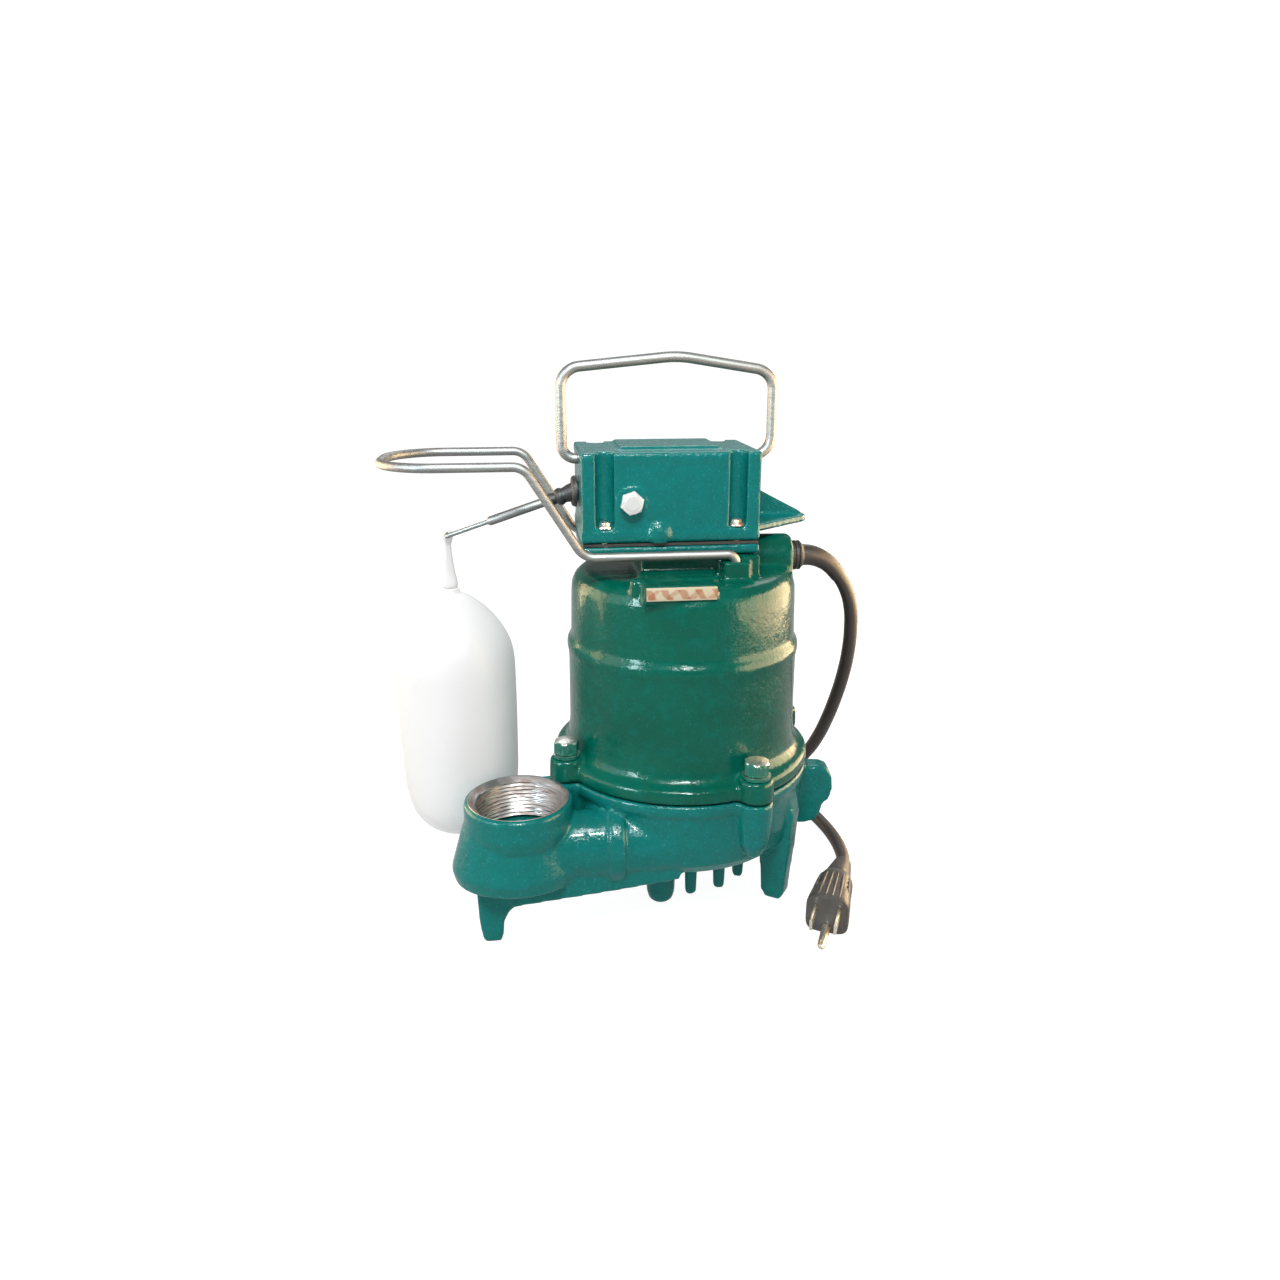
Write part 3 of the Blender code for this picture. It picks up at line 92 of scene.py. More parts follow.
class Finish:
    """One material: a Principled shader, the nodes behind it, and its place on the object."""

    def __init__(self, name, **sockets):
        self.material = bpy.data.materials.new(name)
        self.material.use_nodes = True
        self.tree = self.material.node_tree
        self.shader = self.tree.nodes["Principled BSDF"]
        self.feed(self.shader, {key.replace("_", " "): value for key, value in sockets.items()})

    def feed(self, node, inputs):
        """Sets a node's inputs, by a link where the value is worked out."""
        for key, value in inputs.items():
            socket = node.inputs[key]
            if isinstance(value, Value):
                self.tree.links.new(value.socket, socket)
            elif isinstance(value, tuple) and socket.type == "RGBA":
                socket.default_value = (*value, 1)
            else:
                socket.default_value = value

    def node(self, kind, settings, inputs, out=0):
        """Adds one node and gives back what it works out."""
        node = self.tree.nodes.new("ShaderNode" + kind)
        for key, value in settings.items():
            setattr(node, key, value)
        self.feed(node, inputs)
        return Value(self, node.outputs[out])

    def place(self, axis=None):
        """Where a point is on the object, in metres: a vector, or one of its parts."""
        spot = self.node("TexCoord", {}, {}, "Object")
        return spot if axis is None else self.node("SeparateXYZ", {}, {0: spot}, axis)

    def facing(self, axis):
        """How far the surface faces along one axis, from -1 to 1."""
        return self.node("SeparateXYZ", {}, {0: self.node("NewGeometry", {}, {}, "Normal")}, axis)

    def noise(self, scale, detail=2.0, stretch=(1, 1, 1)):
        spot = self.node("VectorMath", {"operation": "MULTIPLY"}, {0: self.place(), 1: stretch})
        return self.node("TexNoise", {}, {"Vector": spot, "Scale": scale, "Detail": detail})

    def mix(self, factor, first, second):
        """A colour between two; the numbers are the colour sockets of the node."""
        return self.node("Mix", {"data_type": "RGBA"}, {0: factor, 6: first, 7: second}, 2)

    def bump(self, height, deep, after=None):
        inputs = {"Height": height, "Distance": deep, "Strength": 1.0}
        if after is not None:
            inputs["Normal"] = after
        return self.node("Bump", {}, inputs)

    def wear(self, **sockets):
        """What the shader's own sockets take from the nodes."""
        self.feed(self.shader, {key.replace("_", " "): value for key, value in sockets.items()})
        return self.material


def solid(name, build, material, body, replaces=(), smooth=40.0):
    """A bmesh in millimetres becomes a piece that rides on a body."""
    bmesh.ops.recalc_face_normals(build, faces=build.faces)
    if build.calc_volume(signed=True) < 0:
        bmesh.ops.reverse_faces(build, faces=build.faces)
    build.transform(on_axis)
    mesh = bpy.data.meshes.new(name)
    build.to_mesh(mesh)
    build.free()
    mesh.shade_smooth()
    mesh.set_sharp_from_angle(angle=math.radians(smooth))
    piece = bpy.data.objects.new(name, mesh)
    bpy.context.collection.objects.link(piece)
    piece.data.materials.append(material)
    if body:
        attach(piece, body)
    if replaces:
        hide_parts(*replaces)
    return piece


floor_half, floor_drop = 4000, 0.2
warm = (1.0, 0.72, 0.4)
floor_paint = Finish("floor_white", Roughness=0.9, Specular_IOR_Level=0.1, Emission_Strength=1.0)
floor_paint.wear(
    Base_Color=floor_paint.mix(floor_paint.noise(3.0), (0.34, 0.34, 0.34), (0.31, 0.31, 0.31)),
    Emission_Color=floor_paint.mix(
        floor_paint.node("LightPath", {}, {}, "Is Camera Ray"), (0.42, 0.42, 0.42), (0.94, 0.94, 0.94),
    ),
)
build = bmesh.new()
bmesh.ops.create_grid(build, x_segments=1, y_segments=1, size=floor_half)
bmesh.ops.translate(build, vec=(0, 0, -floor_drop), verts=build.verts)
floor = solid("studio_floor", build, floor_paint.material, None)

sky = bpy.data.worlds.new("studio")
sky.use_nodes = True
bpy.context.scene.world = sky
surround = sky.node_tree.nodes["Background"]
seen = sky.node_tree.nodes.new("ShaderNodeLightPath")
glow = sky.node_tree.nodes.new("ShaderNodeMix")
glow_on_things, glow_behind = 0.3, 1.1
glow.inputs[2].default_value = glow_on_things
glow.inputs[3].default_value = glow_behind
sky.node_tree.links.new(seen.outputs["Is Camera Ray"], glow.inputs[0])
sky.node_tree.links.new(glow.outputs[0], surround.inputs["Strength"])
surround.inputs["Color"].default_value = (1, 1, 1, 1)


def lamp(name, place, aim, size, watts, colour=(1, 1, 1), card=False):
    """A soft box, or a card that is only seen in what is shiny."""
    light = bpy.data.lights.new(name, "AREA")
    light.shape = "RECTANGLE"
    light.size, light.size_y = size
    light.energy = watts
    light.color = colour
    holder = bpy.data.objects.new(name, light)
    bpy.context.collection.objects.link(holder)
    holder.location = on_axis @ Vector(place)
    holder.rotation_euler = (Vector(aim) - Vector(place)).to_track_quat("-Z", "Y").to_euler()
    holder.visible_camera = False
    holder.visible_diffuse = not card


lamp("lamp_over", (-150, -700, 1100), (0, 0, 100), (0.34, 0.24), 11)
lamp("lamp_left", (-1100, -200, 500), (0, 0, 120), (0.4, 0.8), 3.4)
lamp("card_right", (620, -40, 170), (0, 0, 150), (1.1, 0.6), 30, warm, card=True)
lamp("card_left", (-620, 260, 170), (0, 0, 150), (0.5, 0.6), 9, warm, card=True)
lamp("spark_over", (-60, -900, 900), (0, 0, 120), (0.17, 0.1), 20, (0.86, 1.0, 0.98), card=True)
lamp("spark_left", (-700, -500, 420), (0, 0, 80), (0.12, 0.4), 9, (0.72, 0.93, 1.0), card=True)
lamp("lamp_behind", (200, 900, 900), (0, 0, 100), (0.9, 0.5), 4)
bpy.context.scene.view_settings.view_transform = "Standard"


# Power cord. Three cores in a round black rubber jacket, 8 mm thick and 2.7 m long. It leaves
# the gland, hangs down beside the housing to a two-layer coil behind the pump, and comes back
# along the floor to its plug. A moulded sleeve keeps it from kinking at the gland.
jacket = Finish("cord_rubber", Roughness=0.42, Specular_IOR_Level=0.45)
jacket.wear(
    Base_Color=jacket.mix(jacket.noise(60.0, 3.0), (0.022, 0.015, 0.014), (0.045, 0.033, 0.03)),
    Roughness=0.36 + 0.2 * jacket.noise(140.0, 2.0),
    Normal=jacket.bump(jacket.noise(1800.0, 2.0), 0.00012),
)
gland_end = (68.3, 3, 194)
cord_hangs = [
    gland_end, (73, 3, 193.7), (79.4, 3.1, 191.6), (86, 3.3, 187), (91, 3.7, 181.2), (96.5, 4.6, 172.5),
    (100.3, 6, 161.5), (102.3, 8.6, 148), (103.2, 12.6, 132), (103, 18.4, 115), (102, 26, 97.5),
    (100.6, 35.2, 80), (98.6, 46, 62.5), (94.8, 57, 46.5), (87.5, 65.6, 33.4), (77, 69.6, 25), (66, 71, 20.6),
    (53, 73, 17.2), (39, 76.4, 14.4),
]
coil_centre = Vector((22, 143.5, 0))
coil_outer, coil_inner, coil_turns, cord_thick = 63.4, 32.0, 7.75, 8.0
upper_layer, layer_drop, steps_per_turn = 12.5, 8.35, 16
cord_lies = []
steps = int(coil_turns * steps_per_turn)
for step in range(1, steps + 1):
    turned = step / steps
    half = min(turned, 1 - turned) * 2
    radius = coil_outer + (coil_inner - coil_outer) * min(1, half * 1.03)
    drop = min(1, max(0, (turned - 0.5) * steps / 5 + 0.5))
    drop = drop * drop * (3 - 2 * drop)
    angle = math.radians(-90 - 360 * coil_turns * turned)
    cord_lies.append((
        coil_centre.x + radius * math.cos(angle), coil_centre.y + radius * math.sin(angle),
        upper_layer - layer_drop * drop,
    ))
cord_returns = [
    (85.6, 126, 4.15), (86.6, 108, 4.1), (89.8, 90, 4.1), (94.6, 72, 4.1), (99.3, 54, 4.1), (102.6, 36, 4.1),
    (104.1, 18, 4.1), (103.2, 2, 4.4), (99.9, -13, 5.4), (96.2, -21.5, 6.3), (91.5, -31, 7.6),
]


def bezier(name, points, thick, material, body, taper=None):
    """A round cord or wire that passes smoothly through its points, with closed ends."""
    curve = bpy.data.curves.new(name, "CURVE")
    curve.dimensions = "3D"
    curve.bevel_depth = thick / 2000
    curve.bevel_resolution = 5
    curve.use_fill_caps = True
    curve.resolution_u = 8
    line = curve.splines.new("BEZIER")
    line.bezier_points.add(len(points) - 1)
    for index, (knot, point) in enumerate(zip(line.bezier_points, points)):
        knot.co = on_axis @ Vector(point)
        knot.handle_left_type = knot.handle_right_type = "AUTO"
        knot.radius = 1.0 if taper is None else taper[index]
    piece = bpy.data.objects.new(name, curve)
    bpy.context.collection.objects.link(piece)
    curve.materials.append(material)
    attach(piece, body)
    return piece


cord = bezier("power_cord", cord_hangs + cord_lies + cord_returns, cord_thick, jacket.material, "pump")
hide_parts("cord_drop", "cord_coil", "cord_run")
sleeve = bezier(
    "cord_sleeve", cord_hangs[:5], 12.0, jacket.material, "pump", taper=[1.0, 0.97, 0.9, 0.82, 0.74],
)
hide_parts("strain_relief")


def lathe(profile, centre=(0, 0, 0), along=(0, 0, 1), sides=64, build=None):
    """A turned solid in millimetres: (radius, height) points that start and end on the axis,
    or a ring when they start off it."""
    build = build or bmesh.new()
    frame_here = Matrix.Translation(centre) @ Vector(along).to_track_quat("Z", "Y").to_matrix().to_4x4()
    ring_shape = profile[0][0] > 0
    rows = []
    for radius, height in profile:
        if radius == 0:
            rows.append([build.verts.new(frame_here @ Vector((0, 0, height)))])
        else:
            turns = [math.tau * side / sides for side in range(sides)]
            rows.append([
                build.verts.new(
                    frame_here @ Vector((radius * math.cos(turn), radius * math.sin(turn), height))
                ) for turn in turns
            ])
    for upper, lower in zip(rows, rows[1:] + ([rows[0]] if ring_shape else [])):
        for side in range(sides):
            after = (side + 1) % sides
            corners = list(dict.fromkeys([
                upper[side % len(upper)], upper[after % len(upper)],
                lower[after % len(lower)], lower[side % len(lower)],
            ]))
            if len(corners) > 2:
                build.faces.new(corners)
    return build


# Cord gland: a ribbed black rubber bush screwed into the boss at the housing's right.
gland_rubber = Finish("gland_rubber", Roughness=0.5)
gland_rubber.wear(
    Base_Color=gland_rubber.mix(gland_rubber.noise(90.0), (0.012, 0.012, 0.012), (0.03, 0.029, 0.028)),
    Normal=gland_rubber.bump(gland_rubber.noise(900.0, 3.0), 0.0002),
)
gland_profile = [
    (4.3, 7.0), (6.3, 7.0), (6.9, 6.4), (7.3, 5.6), (8.2, 5.2), (8.3, 4.4), (7.7, 4.0), (7.7, 3.4),
    (8.3, 3.0), (8.3, 2.2), (7.7, 1.8), (7.7, 1.2), (8.2, 0.8), (8.2, 0.0), (4.3, 0.0),
]
_, cord_y, cord_z = gland_end
solid(
    "gland_bush", lathe(gland_profile, (61.5, cord_y, cord_z), (1, 0, 0), 40), gland_rubber.material, "pump",
    ["cord_gland"],
)


# Plug: a moulded rubber body that widens towards its face, with finger ribs down both sides,
# two flat brass blades and a round ground pin. It lies on the floor at the end of the cord.
plug_face, plug_rear = Vector((68.6, -78.3, 12.2)), Vector((98.1, -17.4, 5.8))
plug_along = Vector((plug_face.x - plug_rear.x, plug_face.y - plug_rear.y, 0)).normalized()
plug_turn = Matrix.Rotation(math.atan2(plug_along.y, plug_along.x), 4, "Z")


def loft(stations, sides=40, build=None):
    """Closed rings joined end to end: each station is (matrix, half width, half height, squareness)."""
    build = build or bmesh.new()
    rows = []
    for placed, wide, high, square in stations:
        row = []
        for side in range(sides):
            angle = math.tau * side / sides
            across, up = math.cos(angle), math.sin(angle)
            row.append(build.verts.new(placed @ Vector((
                0,
                wide * math.copysign(abs(across) ** (2 / square), across),
                high * math.copysign(abs(up) ** (2 / square), up),
            ))))
        rows.append(row)
    for first, second in zip(rows, rows[1:]):
        for side in range(sides):
            after = (side + 1) % sides
            build.faces.new((first[side], first[after], second[after], second[side]))
    build.faces.new(rows[0])
    build.faces.new(rows[-1])
    return build


plug_mould = Finish("plug_rubber", Roughness=0.4, Specular_IOR_Level=0.5)
plug_mould.wear(
    Base_Color=plug_mould.mix(plug_mould.noise(120.0), (0.035, 0.032, 0.031), (0.09, 0.083, 0.08)),
    Roughness=0.3 + 0.25 * plug_mould.noise(200.0),
    Normal=plug_mould.bump(plug_mould.noise(1200.0, 3.0), 0.0002),
)
stations = []
shape = (
    (-38.2, 8.2, 7.8, 2.2), (-37.0, 8.9, 8.5, 2.4), (-34.0, 9.4, 9.0, 2.6), (-31.0, 10.6, 9.8, 2.8),
    (-28.5, 9.8, 9.4, 3.0), (-26.0, 10.8, 10.2, 3.0), (-23.5, 10.0, 9.8, 3.0), (-21.0, 11.0, 10.6, 3.2),
    (-18.5, 10.2, 10.2, 3.2), (-16.0, 11.2, 10.9, 3.4), (-12.0, 11.8, 11.4, 3.6), (-5.0, 12.3, 11.7, 4.0),
    (-1.0, 12.4, 11.8, 4.4), (0.0, 11.8, 11.2, 4.4),
)
slim, flat = 0.94, 0.96
for back, wide, high, square in shape:
    spot = plug_face + plug_along * back
    stations.append((Matrix.Translation(spot) @ plug_turn, wide * slim, high * flat, square))
build = loft(stations)
plug_across = Vector((-plug_along.y, plug_along.x, 0))
rib_shape = ((-31, 9.6, 9.2, 0.5), (-24, 10.4, 9.9, 0.85), (-14, 11.2, 10.8, 0.9), (-2.5, 11.9, 11.4, 0.7))
for side in (-0.86, -0.5, -0.16, 0.16, 0.5, 0.86):
    rib = []
    for back, wide, high, thick in rib_shape:
        crown = high * (1 - abs(side) ** 3.4) ** 0.3
        point = plug_face + plug_along * back + plug_across * side * wide * slim
        point = point + Vector((0, 0, crown * flat))
        rib.append((Matrix.Translation(point) @ plug_turn, thick, thick, 2))
    loft(rib, 12, build)
plug = solid("plug_shell", build, plug_mould.material, "pump", ["plug_body"], smooth=50)
sleeve_stations = []
sleeve_start, sleeve_end = plug_rear, plug_face - plug_along * 38.4
tip = (sleeve_end - sleeve_start).to_track_quat("X", "Z").to_matrix().to_4x4()
sleeve_parts, sleeve_thin, sleeve_widens = 12, 4.7, 2.7
for index in range(sleeve_parts + 1):
    share = index / sleeve_parts
    thick = sleeve_thin + sleeve_widens * share + (0.5 if index % 2 else -0.25)
    sleeve_stations.append((Matrix.Translation(sleeve_start.lerp(sleeve_end, share)) @ tip, thick, thick, 2))
plug_sleeve = solid("plug_sleeve", loft(sleeve_stations, 28), plug_mould.material, "pump", ["plug_relief"])
blade_brass = Finish("blade_metal", Metallic=1.0, Roughness=0.25)
blade_brass.wear(
    Base_Color=blade_brass.mix(blade_brass.noise(300.0), (0.62, 0.55, 0.42), (0.75, 0.7, 0.6)),
    Roughness=0.2 + 0.2 * blade_brass.noise(700.0, 2.0, (1, 1, 0.1)),
)
blade_size = (16.5, 1.5, 6.3)
for name, side in (("plug_blade_left", 1), ("plug_blade_right", -1)):
    build = bmesh.new()
    bmesh.ops.create_cube(build, size=1)
    bmesh.ops.scale(build, vec=blade_size, verts=build.verts)
    bmesh.ops.bevel(build, geom=build.edges[:], offset=0.45, segments=2, profile=0.5, affect="EDGES")
    middle = plug_face + plug_along * 8.55 + plug_across * side * 6.35 + Vector((0, 0, 3))
    build.transform(Matrix.Translation(middle) @ plug_turn)
    solid(name + "_bright", build, blade_brass.material, "pump", [name])
pin_profile = [(0, 19.5), (1.1, 19.3), (2.0, 18.0), (2.35, 15.5), (2.4, 0.3), (0, 0.3)]
ground = lathe(pin_profile, plug_face + Vector((0, 0, -7.5)), plug_along, 24)
solid("ground_pin_bright", ground, blade_brass.material, "pump", ["plug_ground_pin"])


# Pump base. One grey-iron casting: a round volute with an outlet arm across its front, the
# threaded outlet standing on the arm's left end, three feet, a side ear and a ring of strainer
# pegs around the inlet. It is sprayed with a thick teal-green enamel that softens every edge.
class Casting:
    """Rough shapes in millimetres that are run together, softened, and then cut."""

    def __init__(self):
        self.build = bmesh.new()

    def turn(self, profile, centre=(0, 0, 0), along=(0, 0, 1), sides=64):
        lathe(profile, centre, along, sides, self.build)

    def bar(self, start, end, radius, end_radius=None, squash=(1, 1), sides=32):
        start, end = Vector(start), Vector(end)
        made = bmesh.ops.create_cone(
            self.build, cap_ends=True, segments=sides, radius1=radius,
            radius2=radius if end_radius is None else end_radius, depth=(end - start).length,
        )["verts"]
        bmesh.ops.scale(self.build, vec=(*squash, 1), verts=made)
        turn = (end - start).to_track_quat("Z", "Y").to_matrix().to_4x4()
        bmesh.ops.transform(self.build, matrix=Matrix.Translation((start + end) / 2) @ turn, verts=made)

    def ball(self, centre, radii):
        made = bmesh.ops.create_uvsphere(self.build, u_segments=40, v_segments=20, radius=1)["verts"]
        bmesh.ops.scale(self.build, vec=radii, verts=made)
        bmesh.ops.translate(self.build, vec=centre, verts=made)

    def block(self, low, high):
        low, high = Vector(low), Vector(high)
        made = bmesh.ops.create_cube(self.build, size=1)["verts"]
        bmesh.ops.scale(self.build, vec=high - low, verts=made)
        bmesh.ops.translate(self.build, vec=(low + high) / 2, verts=made)

    def slab(self, outline, thick, placed, lying=False, thin=1.0):
        """A flat outline standing in XZ, or lying in XY; thin narrows its lowest points."""
        low = min(up for _, up in outline)
        high = max(up for _, up in outline)
        rings = []
        for side in (-0.5, 0.5):
            ring = []
            for across, up in outline:
                share = thin + (1 - thin) * (up - low) / (high - low)
                point = (across, up, side * thick) if lying else (across, side * thick * share, up)
                ring.append(self.build.verts.new(placed @ Vector(point)))
            rings.append(ring)
        self.build.faces.new(rings[0])
        self.build.faces.new(rings[1])
        for index in range(len(outline)):
            after = (index + 1) % len(outline)
            self.build.faces.new((rings[0][index], rings[0][after], rings[1][after], rings[1][index]))


def hidden(name, build):
    """A bmesh in millimetres as a closed scratch object for a Boolean."""
    bmesh.ops.recalc_face_normals(build, faces=build.faces)
    build.transform(on_axis)
    mesh = bpy.data.meshes.new(name)
    build.to_mesh(mesh)
    build.free()
    scratch = bpy.data.objects.new(name, mesh)
    bpy.context.collection.objects.link(scratch)
    return scratch


def settle(obj):
    """The object's mesh with its modifiers applied."""
    bpy.context.view_layer.update()
    graph = bpy.context.evaluated_depsgraph_get()
    mesh = bpy.data.meshes.new_from_object(obj.evaluated_get(graph))
    obj.modifiers.clear()
    obj.data = mesh


def cut(piece, cutters):
    """Takes each cutter's shapes out of a piece, and applies what the piece has waiting."""
    scratches = [hidden(f"{piece.name}_cut", cutter.build) for cutter in cutters]
    for scratch in scratches:
        change = piece.modifiers.new("cut", "BOOLEAN")
        change.operation = "DIFFERENCE"
        change.solver = "EXACT"
        change.object = scratch
    settle(piece)
    for scratch in scratches:
        bpy.data.objects.remove(scratch)


def dress(piece, material, smooth, body, replaces):
    """Smooth shading, one material, and a place on a body for a piece that was cut."""
    piece.data.shade_smooth()
    piece.data.set_sharp_from_angle(angle=math.radians(smooth))
    piece.data.materials.clear()
    piece.data.materials.append(material)
    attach(piece, body)
    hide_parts(*replaces)


def cast(name, shapes, grain, soften, material, body, replaces, carved=(), machined=()):
    """Runs shapes together on a grain of so many millimetres and softens them into fillets.
    Carved shapes are taken out before the softening, and machined ones after it."""
    piece = hidden(name, shapes.build)

    def run_together():
        remesh = piece.modifiers.new("run_together", "REMESH")
        remesh.mode = "VOXEL"
        remesh.voxel_size = grain / 1000

    if carved:
        run_together()
        cut(piece, carved)
    run_together()
    relax = piece.modifiers.new("soften", "SMOOTH")
    relax.factor = 0.5
    relax.iterations = soften
    cut(piece, machined)
    dress(piece, material, 45, body, replaces)


def enamel(name, grit=1.0, painted_cool_reflection=0.0):
    """Teal-green enamel over sand-cast iron: an orange-peel skin, thin spots, and a little dust. The third
    argument makes it bluer and paler and strengthens its pale blue speckle. That is a painted reflection of
    cool light, laid into the colour."""
    paint = Finish(name, Specular_IOR_Level=0.12, Coat_Roughness=0.06)
    broad, fine = paint.noise(22.0, 3.0), paint.noise(170.0, 4.0)
    speckle = paint.noise(900.0, 2.0)
    shade = paint.mix(broad.between(0.3, 0.7), (0.0, 0.094, 0.058), (0.0, 0.118, 0.078))
    shade = paint.mix(fine.between(0.45, 0.75) * 0.35, shade, (0.0, 0.17, 0.135))
    # Paler and bluer by the third argument, with more pale blue speckle as it rises: a painted reflection.
    shade = paint.mix(painted_cool_reflection * (0.55 + 0.45 * fine), shade, (0.006, 0.225, 0.225))
    shade = paint.mix(speckle.between(0.6, 0.74) * (0.16 + 0.5 * painted_cool_reflection), shade, (0.03, 0.33, 0.34))
    dusty = paint.noise(60.0, 4.0).between(0.55, 0.8) * paint.facing("Z").between(0.5, 1.0)
    shade = paint.mix(dusty * 0.1, shade, (0.2, 0.24, 0.17))
    skin = paint.bump(fine * 0.6 + paint.noise(420.0, 3.0) * 0.4, 0.0008 * grit)
    paint.wear(
        Base_Color=shade, Roughness=0.11 + 0.08 * broad + 0.12 * fine, Coat_Weight=0.26 - 0.25 * fine,
        Normal=paint.bump(speckle, 0.00016 * grit, skin),
    )
    return paint.material


# Its last number paints a cool reflection into the base's colour.
base_enamel = enamel("base_enamel", 1.0, 0.7)
base = Casting()
base.turn([
    (0, 78.7), (72.2, 78.7), (73, 77.8), (73, 73), (71.4, 70.5), (71, 64), (70.2, 52), (68, 41), (63, 34.6),
    (55, 33), (0, 33),
], sides=96)
bolt_circle = 74.0
bolt_spots = [
    (bolt_circle * math.cos(math.radians(angle)), bolt_circle * math.sin(math.radians(angle)))
    for angle in (-157, -67, 23, 113)
]
lug_profile = [(0, 78.7), (9.4, 78.7), (9.6, 75), (9.2, 64), (7.6, 54), (4.5, 47), (0, 44)]
for x, y in bolt_spots:
    base.turn(lug_profile, (x, y, 0), sides=32)
base.turn([(0, 78.7), (8.5, 78.7), (8.5, 71), (5, 64), (0, 62)], (-76, -32, 0), sides=28)
outlet = Vector((-95, -48, 0))
base.bar((-97, -52.5, 50), (-8, -52.5, 50.5), 1, squash=(16.4, 18.9), sides=48)
base.bar((-60, -52.5, 50.2), (-40, -52.5, 50.2), 1, squash=(16.8, 19.3), sides=48)
base.bar((-48.2, -52.5, 50.2), (-40.2, -52.5, 50.2), 1, squash=(18.9, 21.4), sides=48)
base.bar((-14, -46, 52), (34, -40, 54), 17, 14, sides=32)
base.bar((-97, -50, 33.4), (-97, -50, 41), 33.2, 35, squash=(1, 0.8))
base.bar((-97, -50, 40.8), (-97, -50, 64), 35, 28.4, squash=(1, 0.82))
web = [(-106, 42), (-99, 21.4), (-42, 27.6), (-10, 31.6), (-10, 44)]
base.slab(web, 20, Matrix.Translation((0, -55, 0)))
base.turn([
    (0, 78), (27.6, 78), (28.6, 77.4), (29, 76), (29, 69), (29.4, 66), (28, 60), (25, 54), (0, 52),
], outlet, sides=72)
outlet_foot = [
    (-8, 44), (-7.2, 14), (-5.8, 3), (-4, 0.2), (4, 0.2), (5.4, 4), (6, 12), (9, 18), (14, 22.4), (22, 26),
    (26, 44),
]
base.slab(outlet_foot, 13, Matrix.Translation((-111, -58, 0)), thin=0.86)
foot = [(53, 38), (55.6, 5), (58, 0.2), (66.8, 0.2), (69, 4), (71.4, 30), (73.4, 56), (71, 66), (60, 66)]
for angle in (-36, 96):
    base.slab(foot, 12, Matrix.Rotation(math.radians(angle), 4, "Z"), thin=0.8)
ear = [
    (56, 70), (82, 71), (87, 69), (89.6, 64), (90, 56), (88.4, 50), (84.5, 46), (83.6, 40), (80, 35.5),
    (74, 34), (56, 36),
]
base.slab(ear, 13, Matrix.Rotation(math.radians(-7), 4, "Z"))
pegs, first_peg, peg_circle, stud_circle = 14, -89.5, 39.5, 38
*peg_angles, stud_angle = [math.radians(first_peg + index * 360 / pegs) for index in range(pegs)]
for angle in peg_angles:
    x, y = peg_circle * math.cos(angle), peg_circle * math.sin(angle)
    base.bar((x, y, 8), (x, y, 36), 3.3, 4.1, sides=20)
x, y = stud_circle * math.cos(stud_angle), stud_circle * math.sin(stud_angle)
base.turn([(0, 36), (9.5, 36), (8.4, 30), (8.1, 8), (7, 3.6), (4.4, 1.4), (0, 0.6)], (x, y, 0), sides=32)
chamber, bores, flange_face = Casting(), Casting(), Casting()
chamber.turn([(0, 84), (63, 84), (63, 45), (58, 39.5), (0, 39.5)])
chamber.bar((0, 0, 20), (0, 0, 50), 19, sides=64)
bores.bar((-95, -52.5, 50.5), (-20, -52.5, 50.5), 1, squash=(11, 13))
bores.turn([(0, 84), (26.6, 84), (26.3, 78), (23.9, 75.6), (23.9, 54), (17, 45), (0, 42)], outlet, sides=96)
for x, y in bolt_spots:
    bores.bar((x, y, 60), (x, y, 90), 3.6, sides=16)
flange_face.block((-120, -120, 78.85), (120, 120, 100))
cast(
    "base_casting", base, 1.15, 7, base_enamel, "pump", ["pump_base"], machined=[flange_face, chamber, bores],
)


# Outlet thread. A tapered pipe thread cut in the bare iron of the outlet, with a bright bevelled
# lip where the cutter left the enamel, and a little brown flash rust in the grooves.
raw_iron = Finish("cut_iron", Metallic=0.85, Roughness=0.4)
rust = raw_iron.noise(90.0, 4.0, (1, 1, 3)).between(0.42, 0.72)
raw_iron.wear(
    Base_Color=raw_iron.mix(rust * 0.8, (0.4, 0.37, 0.36), (0.16, 0.09, 0.075)),
    Roughness=0.3 + 0.35 * rust,
    Metallic=0.9 - 0.45 * rust,
)
build = bmesh.new()
rings, sides, pitch = 110, 96, 2.21
thread_top, thread_foot, thread_radius, tooth_deep, taper = 75.4, 55.5, 22.3, 1.15, 0.03
turns = [math.tau * side / sides for side in range(sides)]
rows = []
for ring in range(rings + 1):
    z = thread_top - (thread_top - thread_foot) * ring / rings
    row = []
    for side, angle in enumerate(turns):
        tooth = abs(((z / pitch + side / sides) % 1) * 2 - 1)
        radius = thread_radius + tooth_deep * tooth + taper * (z - thread_foot)
        x, y = outlet.x + radius * math.cos(angle), outlet.y + radius * math.sin(angle)
        row.append(build.verts.new((x, y, z)))
    rows.append(row)
lip = ((23.88, 55.5), (23.88, 74.0), (24.3, 75.2), (26.9, 78.0), (26.75, 78.12), (26.2, 77.9), (23.7, 75.7))
for radius, z in lip[::-1]:
    rows.insert(0, [
        build.verts.new((outlet.x + radius * math.cos(angle), outlet.y + radius * math.sin(angle), z))
        for angle in turns
    ])
for upper, lower in zip(rows, rows[1:] + [rows[0]]):
    for side in range(sides):
        after = (side + 1) % sides
        build.faces.new((upper[side], upper[after], lower[after], lower[side]))
thread = solid("outlet_thread", build, raw_iron.material, "pump", smooth=60)


